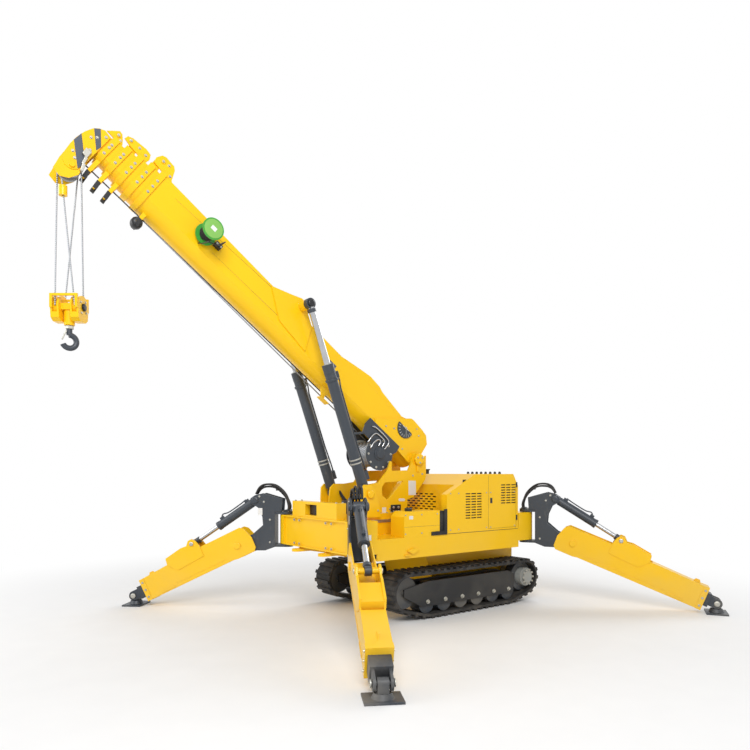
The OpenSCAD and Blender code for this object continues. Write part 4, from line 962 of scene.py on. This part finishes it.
def trim_chassis():
    # Dark frame and block in the gap at the tank's rear end: painted shadow of the gap, in the rubber finish
    gap_shadow_outline = ((-0.655, 1.001), (-0.4, 1.001), (-0.4, 1.045), (-0.605, 1.05), (-0.605, 1.31), (-0.655, 1.315))
    make("tank_gap_shadows", "root", "hose", ORIGIN, mirrored(
        plate(gap_shadow_outline, 0.014, 0.858), block((-0.655, 0.59, 1.001), (-0.545, 0.85, 1.29))), bevel=0.003)
    # Thin black sheets behind the side, across the body and at the front: painted shadow where the openings show dark
    make("painted_shadow_sheets", "root", "stripe", ORIGIN, mirrored(block((-1.94, 0.829, 1.1), (-0.95, 0.831, 1.67))),
         block((-0.93, -0.46, 1.07), (-0.925, 0.46, 1.52)), block((0.663, -0.188, 1.243), (0.666, 0.068, 1.37)))
    make("skirt_wedges", "root", "yellow", ORIGIN, mirrored(
        plate(((-0.01, 0.845), (-0.12, 0.875), (-0.2, 0.845), (-0.1, 0.8)), 0.03, 0.862),
        block((-0.06, 0.85, 0.785), (0.02, 0.88, 0.8))), bevel=0.002)

    def on_side(y, half, *areas):
        """Thin blocks in the plane of the side: two corners of each in X and Z."""
        return mirrored(*[block((x, y - half, z), (end_x, y + half, end_z)) for x, z, end_x, end_z in areas])
    # Thin dark lines on the sides: painted shade in the panel gaps
    make("panel_seam_shade", "root", "shade", ORIGIN, on_side(
        0.8502, 0.0006, (-1.965, 1.002, -0.67, 1.008), (-1.935, 1.02, -1.931, 1.6), (-1.4, 1.03, -1.397, 1.72),
        (-1.935, 1.03, -1.4, 1.033), (-0.6, 1.12, 0.02, 1.122)))
    make("door_handles", "root", "black", ORIGIN, on_side(0.8515, 0.0015, (-1.47, 1.36, -1.43, 1.43)), on_side(
        0.8515, 0.004, (-1.958, 1.12, -1.93, 1.19), (-1.958, 1.56, -1.93, 1.63)), bevel=0.001)
    make("side_plates", "root", "white", ORIGIN, on_side(
        0.8508, 0.0008, (-0.115, 1.21, -0.055, 1.25), (0.5, 1.0, 0.56, 1.06)), slot="yellow_paint")
    knob = ((0.006, 1.72), (0.016, 1.73), (0.021, 1.75), (0.016, 1.768), (0.005, 1.774))
    make("lever_knobs", "root", "black", ORIGIN, *[upright(knob, -2.205, (i - 3.5) * 0.09, 18) for i in range(8)],
         smooth=True)
    make("filler_caps", "root", "black", ORIGIN, mirrored(upright(((0.045, 1.3), (0.045, 1.33), (0.036, 1.336)),
                                                                  -0.15, 0.72)),
         upright(((0.03, 1.739), (0.03, 1.79), (0.045, 1.795), (0.045, 1.81)), -1.45, -0.4), bevel=0.002)

    points = [(x, 0.8502, z) for x in (-0.72, -0.86, -1.36, -1.44, -1.9) for z in (1.05, 1.5)]
    points += [(x, 0.8502, z) for x in (-0.5, -0.25, 0.0) for z in (1.04, 1.26)]
    bolt_row(side_seeds(ORIGIN, points), "panel_bolts", "root", 0.007)
    seeds = seeds_on(ORIGIN, [(x, y, 1.405) for y in (-0.46, 0.46) for x in (0.62, 0.71)], (0, 0, 1))
    seeds += seeds_on(ORIGIN, [(0.7503, y, z) for y in (-0.42, -0.3, 0.3, 0.42) for z in (0.88, 1.17)], (1, 0, 0))
    bolt_row(seeds, "front_bolts", "root", 0.012)

    # Drives and rollers
    bolt_row(side_seeds(ORIGIN, [(-2.15 + x, 0.876, 0.335 + z) for x, z in circle(10, 0.098)]), "drive_bolts", "root")
    bolt_row(side_seeds(ORIGIN, [(-0.39 - 0.29 * k, 0.8022, 0.2) for k in range(6)]), "roller_bolts", "root", 0.02)


def trim_hook():
    hang = Matrix.Translation((point_of("hook_swivel").x, 0, 0))
    make("hook_latch", "hook", "zinc", hang, plate(((0.02, 3.1), (0.034, 3.105), (0.07, 3.02), (0.058, 3.012)), 0.024),
         upright(((0.04, 3.118), (0.04, 3.148), (0.03, 3.152)), segments=6), bevel=0.002)
    sheaves = at(hang, 0, 0, 3.322) @ Matrix.Rotation(math.radians(53), 4, "Z")
    make("block_pins", "hook_block", "stripe", sheaves,
         mirrored(turned(((0.036, 0.1322), (0.036, 0.148), (0.024, 0.154)))), bevel=0.002)
    bolt_row(side_seeds(sheaves, [(x, 0.132, z) for x, z in circle(4, 0.07, 0.6)]), "block_bolts", "hook_block", 0.009)


# Operators, one for each group of pieces

class CRANE_OT_stage(bpy.types.Operator):
    """Sets the floor, the soft lights and the camera"""
    bl_idname = "crane.stage"
    bl_label = "Studio"

    def execute(self, context):
        build_studio()
        return {"FINISHED"}


class CRANE_OT_paint(bpy.types.Operator):
    """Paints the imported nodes"""
    bl_idname = "crane.paint"
    bl_label = "Paint the frame"

    def execute(self, context):
        paint_frame()
        return {"FINISHED"}


class CRANE_OT_ropes(bpy.types.Operator):
    """Runs the hoist rope under the boom, a length on each section"""
    bl_idname = "crane.ropes"
    bl_label = "Hoist rope"

    def execute(self, context):
        run_hoist_rope()
        return {"FINISHED"}


class CRANE_OT_boom_trim(bpy.types.Operator):
    """Stripes, bolts, anchors, dark tips and painted crease shade along the boom"""
    bl_idname = "crane.boom_trim"
    bl_label = "Boom trim"

    def execute(self, context):
        trim_boom()
        return {"FINISHED"}


class CRANE_OT_gauge(bpy.types.Operator):
    """Angle gauge and cable reel"""
    bl_idname = "crane.gauge"
    bl_label = "Gauge and reel"

    def execute(self, context):
        fit_gauge_and_reel()
        return {"FINISHED"}


class CRANE_OT_cylinders(bpy.types.Operator):
    """Eyes, glands, pipes and clamps of all cylinders"""
    bl_idname = "crane.cylinders"
    bl_label = "Cylinder fittings"

    def execute(self, context):
        fit_cylinders()
        return {"FINISHED"}


class CRANE_OT_legs(bpy.types.Operator):
    """Pins, bolts, hoses and blank plates of the legs and brackets"""
    bl_idname = "crane.legs"
    bl_label = "Leg trim"

    def execute(self, context):
        trim_legs()
        return {"FINISHED"}


class CRANE_OT_turret_trim(bpy.types.Operator):
    """Blank plates, panel, hoses and the winch's motor and wound rope"""
    bl_idname = "crane.turret_trim"
    bl_label = "Turret trim"

    def execute(self, context):
        trim_turret()
        return {"FINISHED"}


class CRANE_OT_chassis_trim(bpy.types.Operator):
    """Painted gap shadows at the tank, painted shadow sheets, painted seam shade, bolts, levers' knobs and plates of
    the chassis
    """
    bl_idname = "crane.chassis_trim"
    bl_label = "Chassis trim"

    def execute(self, context):
        trim_chassis()
        return {"FINISHED"}


class CRANE_OT_hook_trim(bpy.types.Operator):
    """Latch, nut and pins of the hook and its block"""
    bl_idname = "crane.hook_trim"
    bl_label = "Hook trim"

    def execute(self, context):
        trim_hook()
        return {"FINISHED"}


PIECE_OPERATORS = (CRANE_OT_stage, CRANE_OT_paint, CRANE_OT_ropes, CRANE_OT_boom_trim, CRANE_OT_gauge,
                   CRANE_OT_cylinders, CRANE_OT_legs, CRANE_OT_turret_trim, CRANE_OT_chassis_trim,
                   CRANE_OT_hook_trim)


class CRANE_PT_panel(bpy.types.Panel):
    """Sizes, colours and the operators"""
    bl_idname = "CRANE_PT_panel"
    bl_label = "Spider crane"
    bl_space_type = "VIEW_3D"
    bl_region_type = "UI"
    bl_category = "Crane"

    def draw(self, context):
        layout = self.layout
        for group in (context.scene.crane_sizes, context.scene.crane_colours):
            for name in group.bl_rna.properties.keys():
                if name not in ("rna_type", "name"):
                    layout.prop(group, name)
        for operator in PIECE_OPERATORS:
            layout.operator(operator.bl_idname)


CLASSES = (CraneSizes, CraneColours, *PIECE_OPERATORS, CRANE_PT_panel)


def register():
    for cls in CLASSES:
        bpy.utils.register_class(cls)
    bpy.types.Scene.crane_sizes = bpy.props.PointerProperty(type=CraneSizes)
    bpy.types.Scene.crane_colours = bpy.props.PointerProperty(type=CraneColours)


def unregister():
    del bpy.types.Scene.crane_colours
    del bpy.types.Scene.crane_sizes
    for cls in reversed(CLASSES):
        bpy.utils.unregister_class(cls)


def main():
    register()
    for operator in PIECE_OPERATORS:
        group, name = operator.bl_idname.split(".")
        getattr(getattr(bpy.ops, group), name)()


if __name__ == "__main__":
    main()
